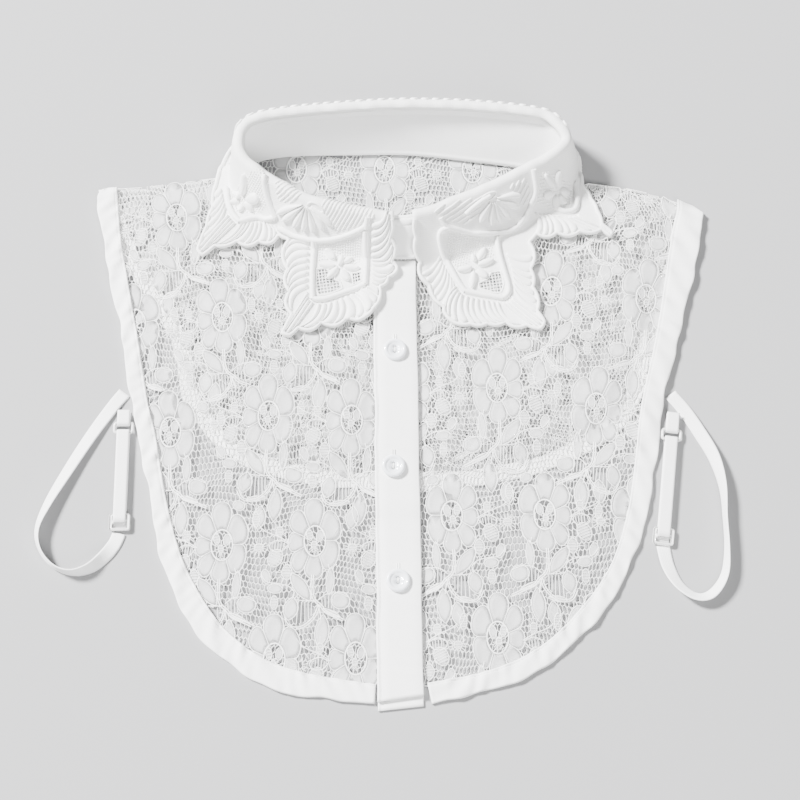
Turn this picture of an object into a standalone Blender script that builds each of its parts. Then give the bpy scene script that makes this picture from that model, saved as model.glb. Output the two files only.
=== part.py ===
"""Lace collar: a sleeveless buttoned lace dickey laid flat on its back panel.

Plan sizes are in millimetres, +X to the right as seen from above with the neck at the far side,
+Y towards the neck, +Z up from the surface it lies on. The origin lies on the back panel's flat underside.
"""
import math
from collections import namedtuple

import bpy
from mathutils import Vector
from mathutils.geometry import delaunay_2d_cdt

MM = 0.001

# Driving dimensions, in millimetres
GAP = 0.3                  # free space between pieces that meet at a seam
LACE = 1.0                 # wall of the lace panels
BACK_BAND = 1.0            # wall of the band round the back panel
BACK_BAND_WIDTH = 8.2
FRONT_BAND = 1.8           # wall of the folded band round each front
STAND = 1.2                # wall of the collar stand
LEAF = 1.5                 # wall of the embroidered collar leaf
RELIEF = 1.1               # highest cord above the leaf's ground
PLACKET = 1.5
UNDER_PLACKET = 1.2
PLACKET_HALF = 11.1        # half the placket's width
FOLD_Z = 25.0              # height of the collar's fold line above the surface
BUTTON_R = 5.75
STRAP_WIDTH = 6.5
STRAP = 0.7

# Columns: fold line of the collar, seam of the stand on the neckline, from the centre front
NeckSection = namedtuple("NeckSection", "fold_x fold_y seam_x seam_y")
NECK_RING = [NeckSection(*row) for row in (
    (0.5, 89.4, 0.5, 73.0), (-16.0, 91.5, -16.0, 75.2), (-32.0, 95.1, -33.0, 79.4),
    (-47.5, 99.6, -50.0, 85.6), (-65.0, 109.9, -68.0, 97.2), (-76.0, 118.3, -79.0, 107.4),
    (-82.0, 127.0, -84.5, 117.0), (-82.0, 137.0, -82.5, 126.5), (-75.8, 144.5, -75.0, 131.5),
    (-57.6, 148.7, -57.0, 135.0), (-22.8, 152.1, -22.8, 135.8), (7.0, 153.4, 7.0, 135.6),
    (42.0, 152.0, 40.0, 131.5), (72.0, 148.0, 64.5, 128.0), (81.5, 141.5, 77.5, 124.0),
    (84.9, 133.0, 83.5, 117.5), (79.5, 125.8, 82.5, 109.0), (65.0, 116.7, 70.0, 98.5),
    (45.0, 105.7, 51.0, 87.5), (28.0, 98.3, 31.0, 79.0), (14.0, 92.3, 14.0, 74.4),
)]

# Columns: outer edge of a front from the shoulder to the centre front, width of its band
EdgeRow = namedtuple("EdgeRow", "x y width")
LEFT_EDGE = [EdgeRow(*row) for row in (
    (-158.0, 116.0, 11.0), (-152.9, 86.9, 9.4), (-146.8, 58.9, 8.8), (-140.3, 31.5, 8.0),
    (-134.1, -2.8, 8.3), (-129.8, -19.7, 8.5), (-124.6, -43.1, 7.9), (-120.3, -63.0, 8.2),
    (-114.9, -85.6, 10.0), (-106.3, -105.0, 11.2), (-95.4, -121.4, 11.6), (-83.1, -132.9, 11.4),
    (-68.4, -142.2, 11.2), (-51.0, -148.6, 11.4), (-28.3, -151.6, 10.2), (-12.0, -152.6, 8.8),
)]
RIGHT_EDGE = [EdgeRow(*row) for row in (
    (157.6, 103.0, 14.0), (154.2, 85.3, 15.0), (144.9, 47.5, 12.6), (138.3, 24.1, 11.0),
    (130.6, -6.4, 10.8), (125.6, -38.1, 10.4), (120.1, -61.8, 9.4), (110.3, -88.7, 9.0),
    (95.7, -110.9, 9.4), (74.5, -131.4, 9.2), (48.6, -145.0, 9.4), (15.0, -152.6, 9.6),
)]

# Columns: outer edge of the back panel's band, from the left shoulder round the hem
PlanRow = namedtuple("PlanRow", "x y")
BACK_EDGE = [PlanRow(*row) for row in (
    (-156.9, 115.8), (-147.6, 90.0), (-137.6, 68.0), (-124.0, 47.0), (-113.6, 25.0),
    (-107.0, -3.0), (-88.0, -27.0), (-66.5, -38.9), (-41.3, -44.6), (-10.0, -47.4),
    (17.0, -47.2), (44.3, -44.0), (72.0, -37.6), (93.5, -27.4), (111.0, -15.2),
    (119.6, -2.0), (125.0, 17.0), (133.0, 42.0), (142.0, 66.0), (157.2, 102.8),
)]
LEFT_SHOULDER = [PlanRow(*row) for row in (
    (-157.2, 116.4), (-133.0, 117.8), (-113.0, 120.6), (-95.0, 123.2), (-82.9, 124.6),
)]
RIGHT_SHOULDER = [PlanRow(*row) for row in (
    (157.6, 103.4), (150.3, 108.6), (136.9, 111.8), (119.0, 116.2), (98.0, 119.4), (81.6, 119.6),
)]

# Columns: a soft fold in a front, from end to end, its height and its half width
FoldRow = namedtuple("FoldRow", "x0 y0 x1 y1 height spread")
FOLDS = [FoldRow(*row) for row in (
    (-97.0, 62.0, -66.0, 8.0, 2.4, 7.0),
    (-122.0, 44.0, -99.0, -10.0, 2.0, 6.0),
    (-72.0, 48.0, -46.0, 10.0, 1.3, 6.0),
    (-60.0, -62.0, -34.0, -112.0, 0.9, 8.0),
    (56.0, 56.0, 98.0, 18.0, 1.3, 7.0),
    (112.0, 66.0, 124.0, 24.0, 1.5, 6.0),
    (92.0, -40.0, 60.0, -92.0, 1.0, 8.0),
)]

# Columns: notch between two lobes of the leaf's edge, and how far the next lobe bulges out
Notch = namedtuple("Notch", "x y bulge")
LEFT_LOBES = [Notch(*row) for row in (
    (-3.2, 88.6, 0.9), (-4.3, 81.6, 2.4), (-3.2, 72.3, 3.6), (-5.5, 62.4, 1.3),
    (-9.5, 57.6, 1.8), (-12.9, 46.0, 3.4), (-26.6, 41.7, 3.2), (-39.7, 39.2, 2.7),
    (-51.1, 36.1, 0.2), (-55.4, 31.6, 0.6), (-60.3, 33.4, 0.2), (-55.4, 44.2, 2.6),
    (-56.6, 56.4, 2.2), (-57.7, 68.4, 3.0), (-57.5, 84.3, 0.3), (-62.0, 86.3, 3.0),
    (-72.1, 83.2, 2.6), (-83.4, 83.5, 1.4), (-94.6, 81.2, 0.2), (-100.8, 76.0, 0.6),
    (-104.2, 80.3, 0.3), (-99.8, 92.9, 0.6), (-97.1, 103.0, 0.8), (-96.3, 117.0, 0.4),
    (-93.4, 130.5, 0.5), (-88.0, 141.5, 0.0),
)]
RIGHT_LOBES = [Notch(*row) for row in (
    (6.5, 88.9, 0.8), (7.1, 81.3, 1.7), (9.4, 71.3, 2.4), (13.6, 58.6, 1.7),
    (21.6, 47.8, 0.5), (22.0, 44.2, 2.8), (35.6, 38.2, 1.2), (44.2, 38.6, 1.4),
    (53.3, 39.2, 2.0), (64.0, 37.6, 0.4), (70.9, 35.4, 0.6), (73.6, 39.8, 0.2),
    (70.0, 45.6, 1.6), (68.0, 58.9, 1.2), (67.1, 68.7, 2.4), (66.7, 83.2, 0.3),
    (70.0, 87.2, 2.2), (80.4, 88.0, 2.2), (92.3, 89.1, 1.5), (103.4, 90.4, 0.2),
    (107.6, 86.8, 0.5), (109.4, 89.6, 0.3), (104.4, 94.0, 0.5), (102.2, 101.5, 0.6),
    (99.3, 108.5, 0.6), (95.4, 117.0, 0.5), (93.8, 128.5, 0.6), (90.5, 141.0, 0.0),
)]
# Columns: corners of the corded square round each flower of the leaf, and the flower's middle
Square = namedtuple("Square", "x1 y1 x2 y2 x3 y3 x4 y4 flower_x flower_y")
SQUARES = [Square(*row) for row in (
    (-44.0, 81.0, -44.5, 54.8, -16.2, 59.6, -16.9, 81.5, -31.6, 70.0),
    (20.0, 82.0, 31.4, 56.6, 54.0, 54.6, 50.0, 80.5, 40.0, 68.5),
    (-90.3, 116.0, -86.0, 97.6, -63.6, 95.8, -66.5, 103.5, -78.0, 104.5),
    (90.4, 116.0, 91.4, 102.6, 71.5, 97.2, 71.5, 105.5, 82.5, 107.0),
)]
# Columns: the raised cord that is the bowl under each fan
BOWLS = [[PlanRow(*row) for row in bowl] for bowl in (
    ((-60.0, 88.1), (-50.0, 85.6), (-38.7, 84.2), (-27.9, 84.6), (-17.7, 85.6)),
    ((18.2, 86.0), (28.0, 86.2), (37.7, 86.6), (49.4, 87.6), (59.9, 91.4), (65.4, 99.0)),
)]
# Columns: where the rays of a fan start and the ends of its first and last ray
Fan = namedtuple("Fan", "x y first_x first_y last_x last_y")
FANS = [Fan(*row) for row in (
    (-42.0, 95.0, -55.5, 89.0, -24.0, 87.6),
    (47.5, 102.4, 26.0, 89.4, 61.0, 96.0),
)]
FAN_RAYS = 5

# Columns: way of a free strap, its height off the surface and its tilt (90 = on edge)
StrapRow = namedtuple("StrapRow", "x y tilt")
LEFT_STRAP = [StrapRow(*row) for row in (
    (-137.9, 3.6, 0), (-143.6, -4.2, 4), (-153.2, -19.3, 14), (-163.2, -37.0, 24),
    (-172.4, -55.0, 42), (-176.6, -68.3, 62), (-174.2, -79.0, 78), (-167.0, -87.0, 84),
    (-158.6, -89.8, 78), (-150.4, -87.6, 60), (-143.8, -82.0, 34), (-139.4, -75.6, 4),
    (-137.3, -70.8, 0), (-136.9, -69.4, 0),
)]
RIGHT_STRAP = [StrapRow(*row) for row in (
    (135.3, 2.7, 0), (141.8, -5.8, 6), (148.4, -17.4, 18), (154.9, -31.0, 40),
    (158.2, -46.0, 66), (158.4, -62.0, 80), (158.4, -78.0, 76), (156.4, -91.0, 60),
    (150.0, -100.0, 44), (142.4, -101.4, 46), (134.6, -95.6, 36), (129.8, -86.0, 14),
    (127.8, -74.9, 0),
)]
# Columns: middle of a slider and of the link its strap hangs from, length of the link's tab
Tackle = namedtuple("Tackle", "slider link tab")
LEFT_TACKLE = Tackle((-136.8, -64.0), (-137.2, -15.4), 6.3)
RIGHT_TACKLE = Tackle((128.1, -71.2), (134.6, -19.0), 8.7)

BUTTONS = {"button_top": (-2.5, 24.6), "button_middle": (-3.2, -36.4), "button_low": (-0.9, -93.8)}

WHITE_LACE = ("white_lace", (0.88, 0.88, 0.87), 0.75)
WHITE_COTTON = ("white_cotton", (0.91, 0.91, 0.90), 0.80)
EMBROIDERY = ("white_embroidery", (0.90, 0.90, 0.88), 0.55)
BUTTON_PLASTIC = ("button_plastic", (0.86, 0.89, 0.94), 0.25)
ELASTIC = ("white_elastic", (0.90, 0.90, 0.90), 0.65)
CLEAR_PLASTIC = ("slider_plastic", (0.90, 0.90, 0.88), 0.30)


# ---------------------------------------------------------------- curves and small maths

def smooth_step(value):
    """Return 0 below 0, 1 above 1 and a soft ramp between."""
    value = min(1.0, max(0.0, value))
    return value * value * (3.0 - 2.0 * value)


def flow(rows, closed=False, steps=12):
    """Return a dense Catmull-Rom curve through rows, every column carried along."""
    count = len(rows)
    spans = count if closed else count - 1
    dense = []
    for span in range(spans):
        if closed:
            near = [rows[(span + k) % count] for k in (-1, 0, 1, 2)]
        else:
            near = [rows[min(count - 1, max(0, span + k))] for k in (-1, 0, 1, 2)]
        for step in range(steps):
            t = step / steps
            dense.append(tuple(
                0.5 * (2 * b + (c - a) * t + (2 * a - 5 * b + 4 * c - d) * t * t
                       + (3 * b - a - 3 * c + d) * t ** 3)
                for a, b, c, d in zip(*near)))
    dense.append(tuple(rows[0] if closed else rows[-1]))
    return dense


def lengths(points):
    """Return the running plan length at each point."""
    run = [0.0]
    for a, b in zip(points, points[1:]):
        run.append(run[-1] + math.hypot(b[0] - a[0], b[1] - a[1]))
    return run


def at_length(points, run, distance):
    """Return the row of a dense curve at a distance along it."""
    low, high = 0, len(run) - 1
    while high - low > 1:
        middle = (low + high) // 2
        if run[middle] <= distance:
            low = middle
        else:
            high = middle
    share = (distance - run[low]) / max(1e-9, run[high] - run[low])
    return tuple(a + (b - a) * share for a, b in zip(points[low], points[high]))


def spread(rows, spacing, closed=False):
    """Return rows at even spacing along the smooth curve through the given rows."""
    dense = flow(rows, closed)
    run = lengths(dense)
    count = max(2, round(run[-1] / spacing))
    return [at_length(dense, run, run[-1] * k / count) for k in range(count + 1)]


def side_step(points, distances):
    """Return the points moved to the left of their way by a distance each."""
    moved = []
    last = len(points) - 1
    for k, point in enumerate(points):
        a, b = points[max(0, k - 1)], points[min(last, k + 1)]
        long = math.hypot(b[0] - a[0], b[1] - a[1])
        moved.append((point[0] - (b[1] - a[1]) / long * distances[k],
                      point[1] + (b[0] - a[0]) / long * distances[k]))
    return moved


def segment_distance(x, y, a, b):
    """Return the distance to a segment and the share of the way along it."""
    dx, dy = b[0] - a[0], b[1] - a[1]
    share = ((x - a[0]) * dx + (y - a[1]) * dy) / (dx * dx + dy * dy)
    share = min(1.0, max(0.0, share))
    return math.hypot(x - a[0] - share * dx, y - a[1] - share * dy), share


def path_distance(x, y, path):
    """Return the distance to the nearest segment of a path."""
    return min(segment_distance(x, y, a, b)[0] for a, b in zip(path, path[1:]))


def inside(x, y, outline):
    """Return whether a plan point lies in a closed outline."""
    hit = False
    for a, b in zip(outline, outline[1:] + outline[:1]):
        if (a[1] > y) != (b[1] > y) and x < a[0] + (y - a[1]) / (b[1] - a[1]) * (b[0] - a[0]):
            hit = not hit
    return hit


def line_y(x, rows):
    """Return y of a left-to-right line at x, held level past its ends."""
    rows = sorted(rows)
    if x <= rows[0][0]:
        return rows[0][1]
    for a, b in zip(rows, rows[1:]):
        if x <= b[0]:
            return a[1] + (b[1] - a[1]) * (x - a[0]) / (b[0] - a[0])
    return rows[-1][1]


# ---------------------------------------------------------------- heights of the layers

RING = flow(NECK_RING, closed=True)
RING_RUN = lengths(RING)
RING_LENGTH = RING_RUN[-1]
SEAM = [(row[2], row[3]) for row in RING]
HEM = spread(BACK_EDGE, 6.0)
HEM_AREA = HEM + [(200.0, 200.0), (-200.0, 200.0)]
HEM_FLAT = 7.0             # how far past the back's hem a front stays up
HEM_SLOPE = 18.0           # how far past the back's hem a front takes to come down
PUFF = (1.2, 30.0)         # how much a front stands off the back, and how far inside the hem
NECK_RISE = (2.6, 45.0)    # how much a front rises towards the neck seam, and over what width
SEAM_FLAT = 28.0           # how far from the shoulder seam a front takes to reach full height
FOLD_TAPER = (0.08, 0.84)  # a fold's start on its sine of height, and the span of it
SHOULDER_ROWS = LEFT_SHOULDER + RIGHT_SHOULDER[::-1]


def ring_at(distance):
    """Return the neck section at a distance round the fold from the centre front."""
    return NeckSection(*at_length(RING, RING_RUN, distance % RING_LENGTH))


def shoulder_depth(x, y):
    """Return how far a plan point lies in front of the shoulder line."""
    return line_y(x, SHOULDER_ROWS) - y


def front_base(x, y):
    """Return the height of a front panel's underside."""
    hem = path_distance(x, y, HEM)
    if inside(x, y, HEM_AREA):
        over_back = 1.0
        puff = PUFF[0] * smooth_step(hem / PUFF[1])
    else:
        over_back = smooth_step((HEM_SLOPE - hem) / (HEM_SLOPE - HEM_FLAT))
        puff = 0.0
    off_seam = smooth_step(shoulder_depth(x, y) / SEAM_FLAT)
    neck = path_distance(x, y, SEAM[::4])
    rise = NECK_RISE[0] * smooth_step(1.0 - neck / NECK_RISE[1])
    height = (BACK_BAND + GAP) * over_back + (puff + rise) * off_seam
    for fold in FOLDS:
        away, share = segment_distance(x, y, fold[0:2], fold[2:4])
        if away < 3.0 * fold.spread:
            taper = math.sin(math.pi * (FOLD_TAPER[0] + FOLD_TAPER[1] * share))
            height += fold.height * taper * off_seam * math.exp(-(away / fold.spread) ** 2)
    return height


PLACKET_LINE = (-2.5, 44.0, 0.0142)    # x of the placket's middle at a y, and its lean
PLACKET_RAMP = (9.0, 7.0)  # where what lies on the fronts comes down beside the placket


def placket_middle(y):
    """Return the x of the placket's middle line."""
    return PLACKET_LINE[0] + (PLACKET_LINE[1] - y) * PLACKET_LINE[2]


def placket_base(y):
    """Return the height that the placket's layers lie on."""
    return front_base(placket_middle(y), y)


def over_placket(x, y):
    """Return 1 over the placket, 0 beside it and a ramp between."""
    off = abs(x - placket_middle(y))
    return smooth_step((PLACKET_HALF + PLACKET_RAMP[0] - off) / PLACKET_RAMP[1])


PLACKET_STACK = UNDER_PLACKET + GAP + PLACKET


def top_of_fronts(x, y):
    """Return the height of the fronts' upper face, placket included."""
    lace = front_base(x, y) + LACE
    return lace + (placket_base(y) + PLACKET_STACK - lace) * over_placket(x, y)


STAND_LIFT = 0.8           # how far the stand's leaning foot is held off what it is sewn to
LEAF_LIFT = 0.6            # how far the leaf is held off what it lies on
PAST_SHOULDER = (6.0, 5.0)  # where the leaf comes down off the fronts behind the shoulder seam


def leaf_ground(x, y):
    """Return the height that the leaf's underside comes down to."""
    cover = smooth_step((shoulder_depth(x, y) + PAST_SHOULDER[0]) / PAST_SHOULDER[1])
    return cover * top_of_fronts(x, y) + LEAF_LIFT


def stand_foot(section):
    """Return the height of the stand's lower edge at a neck section."""
    x, y = section.seam_x, section.seam_y
    cover = smooth_step((shoulder_depth(x, y) + PAST_SHOULDER[0]) / PAST_SHOULDER[1])
    return LACE + STAND_LIFT + cover * (top_of_fronts(x, y) - LACE)


# ---------------------------------------------------------------- the leaf's drape

FOLD = [(row[0], row[1]) for row in RING]
FOLD_R = 2.0               # radius of the roll over the stand's upper edge
FOOT_SHARE = 0.22          # radius of the leaf's bend at its foot, as a share of its fall's width
LEAST_RUN = 6.0            # least plan width of the falling part
RUN_SPARE = 4.9            # how much further out than the stand's foot the leaf lands
FLARE = 0.7                # how fast the fall may widen along the fold
FALL_STEPS = 96


def fold_distance(x, y):
    """Return how far a plan point lies outside the fold line, and the place along it."""
    best, along = 1e9, 0.0
    for k, (a, b) in enumerate(zip(FOLD, FOLD[1:])):
        away, share = segment_distance(x, y, a, b)
        if away < best:
            best, along = away, RING_RUN[k] + share * (RING_RUN[k + 1] - RING_RUN[k])
    return (-best if inside(x, y, FOLD[:-1]) else best), along


def fall_widths():
    """Return rows of place along the fold and plan width of the fall, which clears the stand."""
    needs = []
    for x, y in SEAM[:-1:3]:
        away, along = fold_distance(x, y)
        if away > 0.0:
            needs.append((along, away + RUN_SPARE))
    rows = []
    for k in range(FALL_STEPS + 1):
        along = RING_LENGTH * k / FALL_STEPS
        width = LEAST_RUN
        for place, need in needs:
            apart = abs((along - place + 0.5 * RING_LENGTH) % RING_LENGTH - 0.5 * RING_LENGTH)
            width = max(width, need - FLARE * apart)
        rows.append((along, width))
    return rows


FALL_WIDTHS = fall_widths()


def fall(away, run, drop):
    """Return how far the leaf has come down at a plan distance outside its fold.

    The way is an arc over the fold, a straight fall, an arc at the foot and a level part.
    """
    foot_r = FOOT_SHARE * run
    both = FOLD_R + foot_r
    straight = math.sqrt(max(0.01, run ** 2 + (drop - both) ** 2 - both ** 2))
    slope = math.atan2(drop - both, run) + math.atan2(both, straight)
    if away < FOLD_R * math.sin(slope):
        return FOLD_R - math.sqrt(max(0.0, FOLD_R ** 2 - away ** 2))
    if away < run - foot_r * math.sin(slope):
        down = FOLD_R * (1.0 - math.cos(slope))
        return down + (away - FOLD_R * math.sin(slope)) * math.tan(slope)
    if away < run:
        return drop - foot_r + math.sqrt(max(0.0, foot_r ** 2 - (run - away) ** 2))
    return drop


def leaf_height(x, y):
    """Return the height of the leaf's underside."""
    away, along = fold_distance(x, y)
    run = line_y(along, FALL_WIDTHS)
    if away >= run:
        return leaf_ground(x, y)
    if away <= 0.25 * FOLD_R:
        return FOLD_Z - fall(abs(away), run, FOLD_Z)
    fold = ring_at(along)
    reach = run / away
    landing = leaf_ground(fold.fold_x + (x - fold.fold_x) * reach,
                          fold.fold_y + (y - fold.fold_y) * reach)
    settle = (away / run) ** 2 * (leaf_ground(x, y) - landing)
    return FOLD_Z - fall(away, run, FOLD_Z - landing) + settle


# ---------------------------------------------------------------- making pieces

def clear_scene():
    """Remove every object, so that the file holds the collar alone."""
    for thing in list(bpy.data.objects):
        bpy.data.objects.remove(thing, do_unlink=True)


def collection(name):
    """Return a new collection linked to the scene."""
    group = bpy.data.collections.new(name)
    bpy.context.scene.collection.children.link(group)
    return group


def material(name, colour, roughness):
    """Return the named material, made once."""
    if name in bpy.data.materials:
        return bpy.data.materials[name]
    made = bpy.data.materials.new(name)
    made.use_nodes = True
    shader = made.node_tree.nodes["Principled BSDF"]
    shader.inputs["Base Color"].default_value = (*colour, 1.0)
    shader.inputs["Roughness"].default_value = roughness
    shader.inputs["Metallic"].default_value = 0.0
    return made


def piece(name, mesh, finish):
    """Return a new object of the collar in its collection with its material."""
    made = bpy.data.objects.new(name, mesh)
    PIECES.objects.link(made)
    mesh.materials.append(material(*finish))
    return made


def thicken(made, thickness, weights=None, offset=1.0):
    """Give an open surface its wall, thicker where weights are higher than 1."""
    wall = made.modifiers.new("wall", "SOLIDIFY")
    wall.offset = offset
    wall.use_even_offset = False
    if weights is None:
        wall.thickness = thickness * MM
        return
    most = max(weights)
    group = made.vertex_groups.new(name="wall")
    for index, weight in enumerate(weights):
        group.add([index], weight / most, "REPLACE")
    wall.vertex_group = "wall"
    wall.thickness = thickness * most * MM


def surface(name, points, faces, finish):
    """Return an object from points in millimetres and faces that look up or outwards."""
    mesh = bpy.data.meshes.new(name)
    mesh.from_pydata([tuple(c * MM for c in p) for p in points], [], faces)
    mesh.validate()
    return piece(name, mesh, finish)


def triangulate(outline, extra, lines=()):
    """Return plan points and triangles that fill an outline, with extra points in it.

    The first points are the outline's own; then come extra and each line's points.
    """
    points = [Vector(p) for p in outline] + [Vector(p) for p in extra]
    edges = []
    for line in lines:
        start = len(points)
        points += [Vector(p) for p in line]
        edges += [(start + k, start + k + 1) for k in range(len(line) - 1)]
    ring = list(range(len(outline)))
    made = delaunay_2d_cdt(points, edges, [ring], 1, 1e-4)
    corners, triangles, sources = made[0], made[2], made[3]
    faces = []
    for face in triangles:
        middle = sum((corners[k] for k in face), Vector((0.0, 0.0))) / len(face)
        if inside(middle.x, middle.y, outline):
            a, b, c = (corners[k] for k in face[:3])
            turn = (b - a).cross(c - a)
            faces.append(tuple(face) if turn > 0 else tuple(reversed(face)))
    return corners, faces, sources


def grid_in(outline, spacing, margin, keep_off=()):
    """Return a staggered grid of points inside an outline, clear of its edge and of lines."""
    xs = [p[0] for p in outline]
    ys = [p[1] for p in outline]
    closed = list(outline) + [outline[0]]
    points = []
    rows = int((max(ys) - min(ys)) / (spacing * 0.866)) + 1
    columns = int((max(xs) - min(xs)) / spacing) + 2
    for row in range(rows):
        y = min(ys) + row * spacing * 0.866
        for column in range(columns):
            x = min(xs) + (column + 0.5 * (row % 2)) * spacing
            if not inside(x, y, outline) or path_distance(x, y, closed) < margin:
                continue
            if any(path_distance(x, y, line) < margin for line in keep_off):
                continue
            points.append((x, y))
    return points


def cut_sheet(name, outline, spacing, height, thickness, finish):
    """Make a panel: a trimmed outline laid on a height and given its wall."""
    corners, faces, _ = triangulate(outline, grid_in(outline, spacing, 0.45 * spacing))
    made = surface(name, [(p.x, p.y, height(p.x, p.y)) for p in corners], faces, finish)
    thicken(made, thickness)


def ribbon(name, left_rail, right_rail, thickness, finish, offset=1.0):
    """Make a band between two rails of 3-D points."""
    count = len(left_rail)
    faces = [(count + k, count + k + 1, k + 1, k) for k in range(count - 1)]
    made = surface(name, list(left_rail) + list(right_rail), faces, finish)
    thicken(made, thickness, offset=offset)


# ---------------------------------------------------------------- lace panels and bands

def front_rails(rows, side, spacing=9.0):
    """Return the outer rail, the band's inner rail and the lace's edge of a front."""
    outer = spread(rows, spacing)
    widths = [row[2] for row in outer]
    inner = side_step(outer, [side * w for w in widths])
    lace = side_step(outer, [side * (w + GAP) for w in widths])
    return outer, inner, lace


def trim_to_shoulder(points, rows):
    """Return the points with the first one moved onto the shoulder line."""
    first = (points[0][0], line_y(points[0][0], rows) - GAP)
    return [first] + [p[:2] for p in points[1:]]


FRONT_OFF = (8.8, 9.0)     # lace of the left and the right front from the placket's middle line
NECK_CLEAR = 9.5           # where the neck edge stops beside the placket
CENTRE_STEPS = 26
CORNER_CLEAR = (2.0, 3.0)  # shoulder rows left out this near the neck and the band
FRONT_GRID = 9.5
BACK_GRID = 16.0


def make_front(name, band_name, rows, shoulder, side):
    """Make a front's lace and its band; side is 1 on the left and -1 on the right."""
    rails = front_rails(rows, side)
    outer, inner, lace = (trim_to_shoulder(rail, shoulder) for rail in rails)
    off = -FRONT_OFF[0] if side > 0 else FRONT_OFF[1]
    neck = [p for p in SEAM[::3] if p[0] * side < 0 and shoulder_depth(*p) > GAP]
    neck = sorted(neck, key=lambda p: side * p[0])
    neck = [p for p in neck if abs(p[0] - placket_middle(p[1])) > NECK_CLEAR]
    ends = (neck[-1][1] - 2.0 * GAP, lace[-1][1] - 2.0 * GAP)
    centre = []
    for k in range(CENTRE_STEPS + 1):
        y = ends[0] + (ends[1] - ends[0]) * k / CENTRE_STEPS
        centre.append((placket_middle(y) + off, y))
    seam_rows = [(p[0], p[1] - GAP) for p in shoulder[::-1]
                 if side * (neck[0][0] - p[0]) > CORNER_CLEAR[0]
                 and side * (p[0] - lace[0][0]) > CORNER_CLEAR[1]]
    outline = lace + centre[::-1] + neck[::-1] + seam_rows
    if side < 0:
        outline = outline[::-1]
    cut_sheet(name, outline, FRONT_GRID, front_base, LACE, WHITE_LACE)
    raised = [[(x, y, front_base(x, y)) for x, y in rail] for rail in (outer, inner)]
    left, right = raised if side < 0 else raised[::-1]
    ribbon(band_name, left, right, FRONT_BAND, WHITE_COTTON)


def make_back():
    """Make the back's lace and the band round its sides and hem."""
    outer = spread(BACK_EDGE, 9.0)
    inner = side_step(outer, [BACK_BAND_WIDTH] * len(outer))
    lace = side_step(outer, [BACK_BAND_WIDTH + GAP] * len(outer))
    for rail in (outer, inner, lace):
        for index, rows in ((0, LEFT_SHOULDER), (-1, RIGHT_SHOULDER)):
            rail[index] = (rail[index][0], line_y(rail[index][0], rows) - GAP)
    seam = sorted((p for p in SEAM[::4] if shoulder_depth(*p) < 0.0), key=lambda p: -p[0])
    neck = [(x, y + 1.0) for x, y in seam]
    right = [(x, y - GAP) for x, y in RIGHT_SHOULDER
             if seam[0][0] + 1.0 < x < lace[-1][0] - CORNER_CLEAR[1]]
    left = [(x, y - GAP) for x, y in LEFT_SHOULDER[::-1]
            if lace[0][0] + CORNER_CLEAR[1] < x < seam[-1][0] - 1.0]
    outline = [p[:2] for p in lace] + right + neck + left
    cut_sheet("back_panel", outline, BACK_GRID, lambda x, y: 0.0, LACE, WHITE_LACE)
    flat = [[(p[0], p[1], 0.0) for p in rail] for rail in (inner, outer)]
    ribbon("back_binding", flat[0], flat[1], BACK_BAND, WHITE_COTTON)


# ---------------------------------------------------------------- placket and buttons

UNDER_HALF = 8.6           # half the under placket's width between the fronts
UNDER_FLARE = 2.3          # how much wider it is on each side where it peeps out below them
FLARE_Y = -145.0
PLACKET_ENDS = (72.6, -152.4, -149.2)  # y of the top, of the left and of the right lower corner
UNDER_ENDS = (72.0, -156.4, -154.0)


def placket_rails(top_y, corner_left, corner_right, half, lift, spacing=8.0):
    """Return the two rails of a placket layer that lies a lift above the fronts' base."""
    count = round((top_y - corner_left) / spacing)
    rails = []
    for low, side in ((corner_left, -1.0), (corner_right, 1.0)):
        rail = []
        for k in range(count + 1):
            y = low + (top_y - low) * k / count
            rail.append((placket_middle(y) + side * half(y), y, placket_base(y) + lift))
        rails.append(rail)
    return rails


def under_half(y):
    """Return half the width of the under placket."""
    return UNDER_HALF + UNDER_FLARE * smooth_step((FLARE_Y - y) / 3.0)


def make_plackets():
    """Make the button placket and the one under it, which peeps out at the hem."""
    lift = UNDER_PLACKET + GAP
    left, right = placket_rails(*PLACKET_ENDS, lambda y: PLACKET_HALF, lift)
    ribbon("placket", left, right, PLACKET, WHITE_COTTON)
    left, right = placket_rails(*UNDER_ENDS, under_half, 0.0, spacing=4.0)
    ribbon("under_placket", left, right, UNDER_PLACKET, WHITE_COTTON)


# Columns: radius and height of the button's turned profile, from its middle out and back
BUTTON_PROFILE = (
    (0.0, 0.45), (3.2, 0.45), (3.9, 1.0), (4.9, 1.15), (5.6, 0.8), (BUTTON_R, 0.1),
    (5.5, -0.75), (4.2, -1.15), (0.0, -1.15),
)
HOLE = (1.3, 0.85)         # a hole's distance from the middle and its radius


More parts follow.
